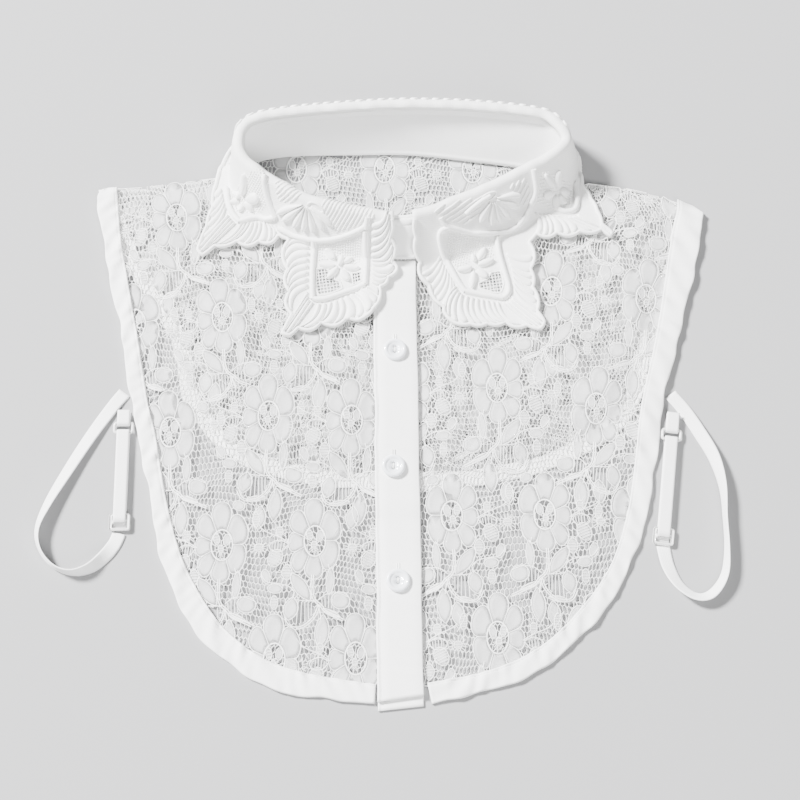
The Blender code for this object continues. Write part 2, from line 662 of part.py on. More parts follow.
def make_button(name, x, y):
    """Make a two-hole shirt button that lies on the placket."""
    mesh = bpy.data.meshes.new(name + "_profile")
    mesh.from_pydata([(r * MM, 0.0, z * MM) for r, z in BUTTON_PROFILE],
                     [(k, k + 1) for k in range(len(BUTTON_PROFILE) - 1)], [])
    made = piece(name, mesh, BUTTON_PLASTIC)
    turn = made.modifiers.new("turn", "SCREW")
    turn.steps = turn.render_steps = 20
    turn.use_merge_vertices = True
    turn.merge_threshold = 0.00001
    turn.use_smooth_shade = True
    for hole in (-HOLE[0], HOLE[0]):
        bpy.ops.mesh.primitive_cylinder_add(vertices=8, radius=HOLE[1] * MM, depth=6.0 * MM,
                                            location=(0.0, hole * MM, 0.0))
        cutter = bpy.context.active_object
        cutter.name = f"{name}_hole_{hole}"
        cutter.parent = made
        for group in list(cutter.users_collection):
            group.objects.unlink(cutter)
        CUTTERS.objects.link(cutter)
        cutter.hide_render = True
        cutter.display_type = "WIRE"
        cut = made.modifiers.new("hole", "BOOLEAN")
        cut.object = cutter
        cut.operation = "DIFFERENCE"
    rest = placket_base(y) + PLACKET_STACK + GAP - BUTTON_PROFILE[-1][1]
    made.location = (x * MM, y * MM, rest * MM)


# ---------------------------------------------------------------- collar stand and leaf

STAND_TOP = FOLD_Z - 2.9   # the stand ends just under the leaf's roll
LAP = 13.0                 # how far each end of the stand passes the centre front
LAP_STEP = 1.9             # how far the under end lies inside the upper end
LAP_RAMP = 15.0            # over what length it steps in
STAND_SECTIONS = 64
STAND_LEVELS = 4


def make_stand():
    """Make the band round the neck, leaning back, its ends lapped at the centre front."""
    points = []
    for k in range(STAND_SECTIONS + 1):
        along = -LAP + (RING_LENGTH + 2.0 * LAP) * k / STAND_SECTIONS
        section = ring_at(along)
        ahead, behind = ring_at(along + 3.0), ring_at(along - 3.0)
        tangent = Vector((ahead.fold_x - behind.fold_x, ahead.fold_y - behind.fold_y))
        inward = Vector((-tangent.y, tangent.x)).normalized()
        step = -LAP_STEP * smooth_step((along - RING_LENGTH + LAP + LAP_RAMP) / LAP_RAMP)
        foot = stand_foot(section)
        for level in range(STAND_LEVELS + 1):
            share = level / STAND_LEVELS
            x = section.seam_x + (section.fold_x - section.seam_x) * share + inward.x * step
            y = section.seam_y + (section.fold_y - section.seam_y) * share + inward.y * step
            points.append((x, y, foot + (STAND_TOP - foot) * share))
    row = STAND_LEVELS + 1
    faces = [(k * row + j, k * row + j + 1, (k + 1) * row + j + 1, (k + 1) * row + j)
             for k in range(STAND_SECTIONS) for j in range(STAND_LEVELS)]
    made = surface("collar_stand", points, faces, WHITE_COTTON)
    thicken(made, STAND, offset=0.0)


def lobed(rows, steps=3):
    """Return the scalloped edge through notches, each lobe bulging to the left of its way."""
    edge = []
    for a, b in zip(rows, rows[1:]):
        dx, dy = b.x - a.x, b.y - a.y
        long = math.hypot(dx, dy)
        for k in range(steps):
            share = k / steps
            swell = a.bulge * math.sin(math.pi * share) / long
            edge.append((a.x + dx * share - dy * swell, a.y + dy * share + dx * swell))
    edge.append((rows[-1].x, rows[-1].y))
    return edge


def beside_fold(away, first, last, count):
    """Return points at a distance outside the fold line, between two places along it.

    The fold runs clockwise from the centre front, so that its outside is on the left.
    """
    points = []
    for k in range(count + 1):
        along = first + (last - first) * k / count
        here = ring_at(along)
        ahead, behind = ring_at(along + 1.5), ring_at(along - 1.5)
        way = Vector((ahead.fold_x - behind.fold_x, ahead.fold_y - behind.fold_y)).normalized()
        points.append((here.fold_x - way.y * away, here.fold_y + way.x * away))
    return points


LEAF_ENDS = (3.7, RING_LENGTH - 6.0)   # where the leaf starts and ends along the fold
LIP = 1.9                  # how far the leaf's roll reaches inside the fold
LIP_STEPS = 76
BACK_WAVES = 15
BACK_EDGES = (0.4, 1.2)    # how far past its fall the leaf's edge waves in and out at the back
BACK_SPAN = (98.0, 276.0)  # where along the fold the leaf falls steeply behind the neck


def leaf_outline():
    """Return the leaf's plan outline: its lip round the fold, then the lobed edge back."""
    lip = beside_fold(-LIP, *LEAF_ENDS, LIP_STEPS)
    left = lobed(LEFT_LOBES)
    right = lobed([Notch(row.x, row.y, -row.bulge) for row in RIGHT_LOBES])
    first = fold_distance(*left[-1])[1] + 4.0
    last = fold_distance(*right[-1])[1] - 4.0
    near, far = (beside_fold(LEAST_RUN + off, first, last, 2 * BACK_WAVES) for off in BACK_EDGES)
    back = [pair[k % 2] for k, pair in enumerate(zip(far, near))]
    return lip[::-1] + left + back + right[::-1]


def dense_line(points, spacing=4.5):
    """Return a polyline with points added so that none are further apart than the spacing."""
    dense = []
    for a, b in zip(points, points[1:]):
        steps = max(1, math.ceil(math.hypot(b[0] - a[0], b[1] - a[1]) / spacing))
        dense += [(a[0] + (b[0] - a[0]) * k / steps, a[1] + (b[1] - a[1]) * k / steps)
                  for k in range(steps)]
    return dense + [tuple(points[-1])]


def corded(points, half=1.6):
    """Return a raised cord's lines: its foot on each side and its crest."""
    crest = dense_line([tuple(p[:2]) for p in points])
    feet = [side_step(crest, [step] * len(crest)) for step in (-half, half)]
    return [(crest, 1.0), (feet[0], 0.0), (feet[1], 0.0)]


PETALS = 6
PETAL_TURN = 0.3           # radians
PETAL_SPAN = (0.2, 0.52)   # a petal's start and end, as shares of half its square
PETAL_RAISE = 0.8          # shares of the relief
RAY_SPAN = (0.35, 0.9)
RAY_RAISE = 0.45
EDGE_RAISE = 0.35


def raised_lines():
    """Return the leaf's raised parts as plan lines, each with its share of the relief."""
    lines = []
    for square in SQUARES:
        corners = [square[k:k + 2] for k in (0, 2, 4, 6)]
        middle = Vector((square.flower_x, square.flower_y))
        lines += corded(corners)
        size = 0.5 * (Vector(corners[1]) - Vector(corners[2])).length
        for petal in range(PETALS):
            turn = 2.0 * math.pi * petal / PETALS + PETAL_TURN
            way = Vector((math.cos(turn), math.sin(turn)))
            lines.append(([tuple(middle + way * r * size) for r in PETAL_SPAN], PETAL_RAISE))
    for bowl in BOWLS:
        lines += corded(bowl)
    for fan in FANS:
        for ray in range(FAN_RAYS):
            share = ray / (FAN_RAYS - 1)
            end = (fan.first_x + (fan.last_x - fan.first_x) * share,
                   fan.first_y + (fan.last_y - fan.first_y) * share)
            lines.append(([(fan.x + (end[0] - fan.x) * r, fan.y + (end[1] - fan.y) * r)
                           for r in RAY_SPAN], RAY_RAISE))
    return lines


ROLL_ROWS = (-0.9, 0.0, 1.1, 2.0)      # rows of points beside the fold, outwards
STEEP_ROWS = (3.3, 4.7)
LEAF_GRID = 5.6
ROW_CLEAR = 0.7            # least distance of a row's point from an edge or a cord
GRID_CLEAR = 1.9


def fold_rows(outline, paths):
    """Return the leaf's points along its roll and its steep fall behind the neck."""
    rows = []
    for away in ROLL_ROWS:
        rows += beside_fold(away, LEAF_ENDS[0] + 2.5, LEAF_ENDS[1] - 2.5, LIP_STEPS - 2)
    for away in STEEP_ROWS:
        rows += beside_fold(away, *BACK_SPAN, 52)
    edges = [outline + outline[:1]] + paths
    return [p for p in rows if inside(*p, outline)
            and all(path_distance(*p, line) > ROW_CLEAR for line in edges)]


def make_leaf():
    """Make the embroidered collar: a lobed sheet laid over the fold, with raised cords."""
    outline = leaf_outline()
    lines = raised_lines()
    paths = [line for line, _ in lines]
    grid = grid_in(outline, LEAF_GRID, GRID_CLEAR, paths)
    extra = fold_rows(outline, paths) + [p for p in grid if fold_distance(*p)[0] > STEEP_ROWS[-1]]
    raises = [0.0 if fold_distance(*p)[0] < 0.0 else EDGE_RAISE for p in outline]
    raises += [0.0] * len(extra)
    for line, share in lines:
        raises += [share] * len(line)
    corners, faces, sources = triangulate(outline, extra, paths)
    weights = []
    for source in sources:
        share = max((raises[k] for k in source), default=0.0)
        weights.append((LEAF + RELIEF * share) / LEAF)
    points = [(p.x, p.y, leaf_height(p.x, p.y)) for p in corners]
    made = surface("collar_leaf", points, faces, EMBROIDERY)
    thicken(made, LEAF, weights)


# ---------------------------------------------------------------- straps and their tackle

LOW_LAYER = 0.45           # height of a strap's middle where it lies on the surface
BAR_R = 0.75               # half the thickness of a link's and a slider's bar
BAR_Z = LOW_LAYER + 0.5 * STRAP + GAP + BAR_R
TOP_LAYER = BAR_Z + BAR_R + GAP + 0.5 * STRAP
LINK_HALF = (4.5, 2.6)     # half the link's width and length, to its bars' middles
SLIDER_HALF = (5.2, 4.4)
TAB_WIDTH = 6.0


def side_way(direction, tilt=0.0):
    """Return the way across a strap that runs in a plan direction, tilted off the level."""
    turn = math.radians(tilt)
    return Vector((-direction[1] * math.cos(turn), direction[0] * math.cos(turn), math.sin(turn)))


def strap_strip(name, places, ways, tilts, width=STRAP_WIDTH):
    """Make a flat strap through middle points, with a way and a tilt at each."""
    left, right = [], []
    for place, way, tilt in zip(places, ways, tilts):
        side = side_way(way, tilt) * (0.5 * width)
        left.append(tuple(Vector(place) + side))
        right.append(tuple(Vector(place) - side))
    ribbon(name, left, right, STRAP, ELASTIC, offset=0.0)


def make_free_strap(name, rows):
    """Make the free loop of a strap, which twists on edge round its bend."""
    path = spread(rows, 7.0)
    places, ways = [], []
    for k, (x, y, tilt) in enumerate(path):
        a, b = path[max(0, k - 1)], path[min(len(path) - 1, k + 1)]
        long = math.hypot(b[0] - a[0], b[1] - a[1])
        ways.append(((b[0] - a[0]) / long, (b[1] - a[1]) / long))
        lift = 0.5 * STRAP_WIDTH * math.sin(math.radians(abs(tilt)))
        places.append((x, y, LOW_LAYER + lift))
    strap_strip(name, places, ways, [row[2] for row in path])


def turn_round_bar(start, bar, end, way):
    """Return middle points of a strap that runs in low, turns round a bar and comes back."""
    reach = TOP_LAYER - BAR_Z
    points = [(*start, LOW_LAYER)]
    for k in range(7):
        turn = -0.5 * math.pi + math.pi * k / 6
        out = reach * math.cos(turn)
        points.append((bar[0] + way[0] * out, bar[1] + way[1] * out,
                       BAR_Z + reach * math.sin(turn)))
    points.append((*end, TOP_LAYER))
    return points


def make_doubled(name, start, bar, end, width=STRAP_WIDTH):
    """Make a strap end that is folded round a bar and lies back over itself."""
    way = Vector((bar[0] - start[0], bar[1] - start[1])).normalized()
    points = turn_round_bar(start, bar, end, way)
    strap_strip(name, points, [(way.x, way.y)] * len(points), [0.0] * len(points), width)


def bar_object(name, path, finish):
    """Make a closed wire along a plan path at the bars' height."""
    curve = bpy.data.curves.new(name, "CURVE")
    curve.dimensions = "3D"
    curve.bevel_depth = BAR_R * MM
    curve.bevel_resolution = 1
    line = curve.splines.new("POLY")
    line.points.add(len(path) - 1)
    line.use_cyclic_u = True
    for point, (x, y) in zip(line.points, path):
        point.co = (x * MM, y * MM, BAR_Z * MM, 1.0)
    made = bpy.data.objects.new(name, curve)
    PIECES.objects.link(made)
    curve.materials.append(material(*finish))


def rounded_box(middle, way, half, corner=1.3, steps=3):
    """Return a closed plan path: a box with round corners, its length along a way."""
    side = (-way[1], way[0])
    path = []
    for quarter, (sx, sy) in enumerate(((1, 1), (-1, 1), (-1, -1), (1, -1))):
        for k in range(steps + 1):
            turn = 0.5 * math.pi * (quarter + k / steps)
            u = sx * (half[0] - corner) + corner * math.cos(turn)
            v = sy * (half[1] - corner) + corner * math.sin(turn)
            path.append((middle[0] + side[0] * -u + way[0] * v,
                         middle[1] + side[1] * -u + way[1] * v))
    return path


def make_slider(name, middle, way):
    """Make a slider: a flat frame with two windows, cut from a block."""
    thick = 2.0 * BAR_R
    bpy.ops.mesh.primitive_cube_add(size=1.0)
    made = bpy.context.active_object
    made.name = name
    made.data.name = name
    sizes = (2.0 * SLIDER_HALF[0], 2.0 * SLIDER_HALF[1], thick)
    for corner in made.data.vertices:
        corner.co = [c * s * MM for c, s in zip(corner.co, sizes)]
    for group in list(made.users_collection):
        group.objects.unlink(made)
    PIECES.objects.link(made)
    made.data.materials.append(material(*CLEAR_PLASTIC))
    made.location = (middle[0] * MM, middle[1] * MM, BAR_Z * MM)
    made.rotation_euler.z = math.atan2(way[1], way[0]) - 0.5 * math.pi
    soften = made.modifiers.new("round", "BEVEL")
    soften.width = 0.45 * MM
    soften.segments = 2
    window = (2.0 * SLIDER_HALF[0] - 3.2, SLIDER_HALF[1] - 2.0)
    for step in (-1, 1):
        bpy.ops.mesh.primitive_cube_add(size=1.0)
        cutter = bpy.context.active_object
        cutter.name = f"{name}_window_{step}"
        for corner in cutter.data.vertices:
            corner.co = [c * s * MM for c, s in zip(corner.co, (*window, 6.0))]
        cutter.parent = made
        cutter.location = (0.0, step * (0.5 * window[1] + 0.75) * MM, 0.0)
        for group in list(cutter.users_collection):
            group.objects.unlink(cutter)
        CUTTERS.objects.link(cutter)
        cutter.hide_render = True
        cutter.display_type = "WIRE"
        cut = made.modifiers.new("window", "BOOLEAN")
        cut.object = cutter
        cut.operation = "DIFFERENCE"


def make_tackle(side, strap_rows, tackle):
    """Make a strap with its slider, the link it hangs from and the tab sewn to the band."""
    make_free_strap(f"strap_{side}", strap_rows)
    slider, link = Vector(tackle.slider), Vector(tackle.link)
    way = (link - slider).normalized()
    make_slider(f"slider_{side}", slider, way)
    low_bar = link - way * LINK_HALF[1]
    start = slider - way * (SLIDER_HALF[1] - 1.6)
    make_doubled(f"strap_{side}_doubled", start, low_bar, slider + way * -0.6)
    bar_object(f"link_{side}", rounded_box(link, way, LINK_HALF), CLEAR_PLASTIC)
    high_bar = link + way * LINK_HALF[1]
    tab = high_bar + way * tackle.tab
    make_doubled(f"tab_{side}", tab, high_bar, tab, width=TAB_WIDTH)


# ---------------------------------------------------------------- the collar

def main():
    """Make every piece of the collar."""
    make_back()
    make_front("front_left_panel", "front_left_binding", LEFT_EDGE, LEFT_SHOULDER, 1)
    make_front("front_right_panel", "front_right_binding", RIGHT_EDGE, RIGHT_SHOULDER, -1)
    make_plackets()
    for name, (x, y) in BUTTONS.items():
        make_button(name, x, y)
    make_stand()
    make_leaf()
    make_tackle("left", LEFT_STRAP, LEFT_TACKLE)
    make_tackle("right", RIGHT_STRAP, RIGHT_TACKLE)


clear_scene()
PIECES = collection("lace_collar")
CUTTERS = collection("cutters")
main()
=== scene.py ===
"""Looks of the lace collar: openwork lace, cotton bands, corded leaf, buttons and elastic straps.

Plan sizes are in millimetres in the CAD's frame: +X right, +Y towards the neck, +Z up.
Only finished meshes are in metres.
"""

import logging
import math
from collections.abc import Callable, Sequence
from dataclasses import dataclass, field
from enum import Enum

import bpy
import numpy as np
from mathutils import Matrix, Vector
from mathutils.geometry import delaunay_2d_cdt


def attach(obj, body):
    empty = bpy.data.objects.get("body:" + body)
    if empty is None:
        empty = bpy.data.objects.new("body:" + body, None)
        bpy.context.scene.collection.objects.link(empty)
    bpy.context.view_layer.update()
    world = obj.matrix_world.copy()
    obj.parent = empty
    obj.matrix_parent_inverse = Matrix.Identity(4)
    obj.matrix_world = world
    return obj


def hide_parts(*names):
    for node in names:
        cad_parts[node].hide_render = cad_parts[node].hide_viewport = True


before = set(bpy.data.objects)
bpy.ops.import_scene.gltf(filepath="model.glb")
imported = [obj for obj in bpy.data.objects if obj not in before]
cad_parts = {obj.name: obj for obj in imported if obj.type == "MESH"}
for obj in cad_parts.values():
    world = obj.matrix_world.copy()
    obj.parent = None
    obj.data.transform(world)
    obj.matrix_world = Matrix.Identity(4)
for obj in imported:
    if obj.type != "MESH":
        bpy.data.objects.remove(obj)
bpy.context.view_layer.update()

MM = 0.001
BODY = "root"
SEED = 11
Array = np.ndarray
Heights = Callable[[Array], Array]
LOG = logging.getLogger("lace_collar")

# ---- sizes shared with the CAD, in mm
GAP = 0.3
LACE = 1.0
BACK_BAND = 1.0
BACK_BAND_WIDTH = 8.2
FRONT_BAND = 1.8
UNDER_PLACKET = 1.2
PLACKET = 1.5
PLACKET_HALF = 11.1
PLACKET_STACK = UNDER_PLACKET + GAP + PLACKET
FOLD_Z = 25.0


def plan(*numbers: float) -> Array:
    """Return plan points from their x and y in turn."""
    return np.reshape(numbers, (-1, 2)).astype(float)


# Columns: fold_x fold_y seam_x seam_y of the collar's neck ring, from the centre front
NECK_RING = np.array((
    (0.5, 89.4, 0.5, 73), (-16, 91.5, -16, 75.2), (-32, 95.1, -33, 79.4), (-47.5, 99.6, -50, 85.6),
    (-65, 109.9, -68, 97.2), (-76, 118.3, -79, 107.4), (-82, 127, -84.5, 117),
    (-82, 137, -82.5, 126.5), (-75.8, 144.5, -75, 131.5), (-57.6, 148.7, -57, 135),
    (-22.8, 152.1, -22.8, 135.8), (7, 153.4, 7, 135.6), (42, 152, 40, 131.5), (72, 148, 64.5, 128),
    (81.5, 141.5, 77.5, 124), (84.9, 133, 83.5, 117.5), (79.5, 125.8, 82.5, 109),
    (65, 116.7, 70, 98.5), (45, 105.7, 51, 87.5), (28, 98.3, 31, 79), (14, 92.3, 14, 74.4),
))
# Columns: x y of a front's outer edge and the width of its band
LEFT_EDGE = np.array((
    (-158, 116, 11), (-152.9, 86.9, 9.4), (-146.8, 58.9, 8.8), (-140.3, 31.5, 8),
    (-134.1, -2.8, 8.3), (-129.8, -19.7, 8.5), (-124.6, -43.1, 7.9), (-120.3, -63, 8.2),
    (-114.9, -85.6, 10), (-106.3, -105, 11.2), (-95.4, -121.4, 11.6), (-83.1, -132.9, 11.4),
    (-68.4, -142.2, 11.2), (-51, -148.6, 11.4), (-28.3, -151.6, 10.2), (-12, -152.6, 8.8),
))
RIGHT_EDGE = np.array((
    (157.6, 103, 14), (154.2, 85.3, 15), (144.9, 47.5, 12.6), (138.3, 24.1, 11),
    (130.6, -6.4, 10.8), (125.6, -38.1, 10.4), (120.1, -61.8, 9.4), (110.3, -88.7, 9),
    (95.7, -110.9, 9.4), (74.5, -131.4, 9.2), (48.6, -145, 9.4), (15, -152.6, 9.6),
))
BACK_EDGE = plan(
    -156.9, 115.8, -147.6, 90, -137.6, 68, -124, 47, -113.6, 25, -107, -3, -88, -27, -66.5, -38.9,
    -41.3, -44.6, -10, -47.4, 17, -47.2, 44.3, -44, 72, -37.6, 93.5, -27.4, 111, -15.2, 119.6, -2,
    125, 17, 133, 42, 142, 66, 157.2, 102.8,
)
LEFT_SHOULDER = plan(-157.2, 116.4, -133, 117.8, -113, 120.6, -95, 123.2, -82.9, 124.6)
RIGHT_SHOULDER = plan(81.6, 119.6, 98, 119.4, 119, 116.2, 136.9, 111.8, 150.3, 108.6, 157.6, 103.4)
# Columns: x0 y0 x1 y1 height spread of the fronts' soft folds
FOLDS = (
    (-97, 62, -66, 8, 2.4, 7), (-122, 44, -99, -10, 2, 6), (-72, 48, -46, 10, 1.3, 6),
    (-60, -62, -34, -112, 0.9, 8), (56, 56, 98, 18, 1.3, 7), (112, 66, 124, 24, 1.5, 6),
    (92, -40, 60, -92, 1, 8),
)
# The same columns for the smaller creases, which the CAD leaves out
CREASES = (
    (-149, 103, -133, 52, 0.7, 3), (-139, 108, -118, 56, 0.6, 3.2), (-126, 110, -112, 74, 0.5, 3.4),
    (-118, 18, -98, -34, 0.6, 3.6), (-84, -12, -40, -30, 0.5, 4), (-108, -60, -86, -110, 0.5, 4),
    (-34, 6, -22, -34, 0.4, 3.6), (138, 92, 126, 44, 0.6, 3), (126, 96, 112, 52, 0.5, 3.4),
    (88, 14, 34, -22, 0.5, 4.2), (104, -24, 84, -78, 0.5, 4), (40, -84, 22, -132, 0.4, 4.2),
)

# Columns: x y of a notch between two lobes of the leaf's edge, and how far the next one bulges
LEFT_LOBES = np.array((
    (-3.2, 88.6, 0.9), (-4.3, 81.6, 2.4), (-3.2, 72.3, 3.6), (-5.5, 62.4, 1.3), (-9.5, 57.6, 1.8),
    (-12.9, 46, 3.4), (-26.6, 41.7, 3.2), (-39.7, 39.2, 2.7), (-51.1, 36.1, 0.2),
    (-55.4, 31.6, 0.6), (-60.3, 33.4, 0.2), (-55.4, 44.2, 2.6), (-56.6, 56.4, 2.2),
    (-57.7, 68.4, 3), (-57.5, 84.3, 0.3), (-62, 86.3, 3), (-72.1, 83.2, 2.6), (-83.4, 83.5, 1.4),
    (-94.6, 81.2, 0.2), (-100.8, 76, 0.6), (-104.2, 80.3, 0.3), (-99.8, 92.9, 0.6),
    (-97.1, 103, 0.8), (-96.3, 117, 0.4), (-93.4, 130.5, 0.5), (-88, 141.5, 0),
))
RIGHT_LOBES = np.array((
    (6.5, 88.9, 0.8), (7.1, 81.3, 1.7), (9.4, 71.3, 2.4), (13.6, 58.6, 1.7), (21.6, 47.8, 0.5),
    (22, 44.2, 2.8), (35.6, 38.2, 1.2), (44.2, 38.6, 1.4), (53.3, 39.2, 2), (64, 37.6, 0.4),
    (70.9, 35.4, 0.6), (73.6, 39.8, 0.2), (70, 45.6, 1.6), (68, 58.9, 1.2), (67.1, 68.7, 2.4),
    (66.7, 83.2, 0.3), (70, 87.2, 2.2), (80.4, 88, 2.2), (92.3, 89.1, 1.5), (103.4, 90.4, 0.2),
    (107.6, 86.8, 0.5), (109.4, 89.6, 0.3), (104.4, 94, 0.5), (102.2, 101.5, 0.6),
    (99.3, 108.5, 0.6), (95.4, 117, 0.5), (93.8, 128.5, 0.6), (90.5, 141, 0),
))
# Columns: x y of a free strap's way and its tilt (90 = on edge)
LEFT_STRAP = np.array((
    (-137.9, 3.6, 0), (-143.6, -4.2, 4), (-153.2, -19.3, 14), (-163.2, -37, 24), (-172.4, -55, 42),
    (-176.6, -68.3, 62), (-174.2, -79, 78), (-167, -87, 84), (-158.6, -89.8, 78),
    (-150.4, -87.6, 60), (-143.8, -82, 34), (-139.4, -75.6, 4), (-137.3, -70.8, 0),
    (-136.9, -69.4, 0),
))
RIGHT_STRAP = np.array((
    (135.3, 2.7, 0), (141.8, -5.8, 6), (148.4, -17.4, 18), (154.9, -31, 40), (158.2, -46, 66),
    (158.4, -62, 80), (158.4, -78, 76), (156.4, -91, 60), (150, -100, 44), (142.4, -101.4, 46),
    (134.6, -95.6, 36), (129.8, -86, 14), (127.8, -74.9, 0),
))


# ---- plan curves

def smooth(value: Array) -> Array:
    """Return 0 below 0, 1 above 1 and a soft ramp between."""
    value = np.clip(value, 0.0, 1.0)
    return value * value * (3.0 - 2.0 * value)


def flow(rows: Array, closed: bool = False, steps: int = 12) -> Array:
    """Draw a smooth curve through rows, every column carried along.

    Args:
        rows: the points that the curve passes through.
        closed: whether it comes back to its start.
        steps: points for each span.

    Returns:
        The dense rows.
    """
    count = len(rows)
    if closed:
        pads = rows[np.arange(-1, count + 2) % count]
        spans = count
    else:
        pads = rows[np.clip(np.arange(-1, count + 1), 0, count - 1)]
        spans = count - 1
    t = (np.arange(steps) / steps)[None, :, None]
    a, b, c, d = (pads[k:k + spans][:, None, :] for k in range(4))
    curve = 0.5 * (2 * b + (c - a) * t + (2 * a - 5 * b + 4 * c - d) * t ** 2
                   + (3 * b - a - 3 * c + d) * t ** 3)
    return np.vstack([curve.reshape(-1, rows.shape[1]), rows[:1] if closed else rows[-1:]])


@dataclass
class Track:
    """A dense plan curve that is read by the distance along it."""

    points: Array
    run: Array = field(init=False)

    def __post_init__(self) -> None:
        """Measure the running length."""
        steps = np.hypot(*np.diff(self.points[:, :2], axis=0).T)
        self.run = np.concatenate([[0.0], np.cumsum(steps)])

    @property
    def length(self) -> float:
        """Return the whole length."""
        return float(self.run[-1])

    def at(self, where: Array) -> Array:
        """Return the rows at distances along the curve."""
        where = np.asarray(where, float)
        return np.stack([np.interp(where, self.run, column) for column in self.points.T], axis=-1)

    def even(self, spacing: float) -> Array:
        """Return rows at even spacing from end to end."""
        count = max(2, round(self.length / spacing))
        return self.at(self.length * np.arange(count + 1) / count)


def unit(ways: Array) -> Array:
    """Return plan ways of length 1."""
    return ways / np.maximum(1e-9, np.hypot(*ways.T))[:, None]


def left_of(way: Array) -> Array:
    """Return plan ways turned a quarter to the left."""
    return np.stack([-way[..., 1], way[..., 0]], axis=-1)


def turned(points: Array, degrees: float) -> Array:
    """Return plan points turned to the left about the origin.

    Args:
        points: plan points.
        degrees: the turn.

    Returns:
        The turned points.
    """
    c, s = math.cos(math.radians(degrees)), math.sin(math.radians(degrees))
    return np.stack([points[..., 0] * c - points[..., 1] * s,
                     points[..., 0] * s + points[..., 1] * c], axis=-1)


def looped(ring: Array) -> Array:
    """Return a ring with its first point once more at its end."""
    return np.vstack([ring, ring[:1]])


def signed_area(ring: Array) -> float:
    """Return a ring's area, below 0 where it runs clockwise."""
    x, y = ring.T
    return 0.5 * float(np.sum(x * np.roll(y, -1) - y * np.roll(x, -1)))


def sideways(points: Array, distances: Array | float) -> Array:
    """Return plan points moved to the left of their way by a distance each.

    Args:
        points: a line of plan points.
        distances: one distance, or one for each point.

    Returns:
        The moved points.
    """
    last = len(points) - 1
    index = np.arange(last + 1)
    way = points[np.clip(index + 1, 0, last), :2] - points[np.clip(index - 1, 0, last), :2]
    return points[:, :2] + left_of(unit(way)) * np.reshape(distances, (-1, 1))


def nearest(points: Array, path: Array, chunk: int = 3000) -> tuple[Array, Array, Array]:
    """Find the nearest place of a path to each plan point.

    Args:
        points: the plan points.
        path: the path's corners.
        chunk: how many points are measured at a time.

    Returns:
        The distances, the indexes of the nearest segments and the shares along them.
    """
    start, way = path[:-1, :2], np.diff(path[:, :2], axis=0)
    square = np.maximum(1e-12, (way ** 2).sum(1))
    found = []
    for first in range(0, len(points), chunk):
        off = points[first:first + chunk, None, :2] - start[None]
        share = np.clip((off * way).sum(-1) / square, 0.0, 1.0)
        away = np.hypot(off[..., 0] - share * way[:, 0], off[..., 1] - share * way[:, 1])
        index = away.argmin(1)
        rows = np.arange(len(index))
        found.append((away[rows, index], index, share[rows, index]))
    return tuple(np.concatenate(part) for part in zip(*found))


def inside(points: Array, outline: Array) -> Array:
    """Return which plan points lie in a closed outline.

    Args:
        points: plan points.
        outline: its corners.

    Returns:
        True for each point inside.
    """
    x, y = points[:, 0], points[:, 1]
    hit = np.zeros(len(points), bool)
    for a, b in zip(outline, np.roll(outline, -1, axis=0)):
        if a[1] != b[1]:
            crosses = (a[1] > y) != (b[1] > y)
            hit ^= crosses & (x < a[0] + (y - a[1]) / (b[1] - a[1]) * (b[0] - a[0]))
    return hit


def placket_middle(y: Array) -> Array:
    """Return the x of the placket's middle line."""
    return -2.5 + (44.0 - y) * 0.0142


@dataclass
class Grid:
    """Heights on a square grid over the plan, read between its points."""

    low: Array
    step: float
    values: Array

    @classmethod
    def of(cls, rule: Heights, low: tuple[float, float], high: tuple[float, float],
           step: float) -> "Grid":
        """Fill a grid from a rule that takes plan points.

        Args:
            rule: gives a height for each plan point.
            low: the lowest corner.
            high: the highest corner.
            step: the spacing.

        Returns:
            The grid.
        """
        xs = np.arange(low[0], high[0] + step, step)
        ys = np.arange(low[1], high[1] + step, step)
        points = np.stack(np.meshgrid(xs, ys), axis=-1).reshape(-1, 2)
        return cls(np.array(low), step, rule(points).reshape(len(ys), len(xs)))

    def at(self, points: Array) -> Array:
        """Return the height at each plan point.

        Args:
            points: plan points.

        Returns:
            A height for each.
        """
        spots = (points[:, :2] - self.low) / self.step
        most = np.array(self.values.shape[::-1]) - 1.001
        spots = np.clip(spots, 0.0, most)
        whole = spots.astype(int)
        part = spots - whole
        (i, j), (u, v) = whole.T, part.T
        low = self.values[j, i] * (1 - u) + self.values[j, i + 1] * u
        high = self.values[j + 1, i] * (1 - u) + self.values[j + 1, i + 1] * u
        return low * (1 - v) + high * v


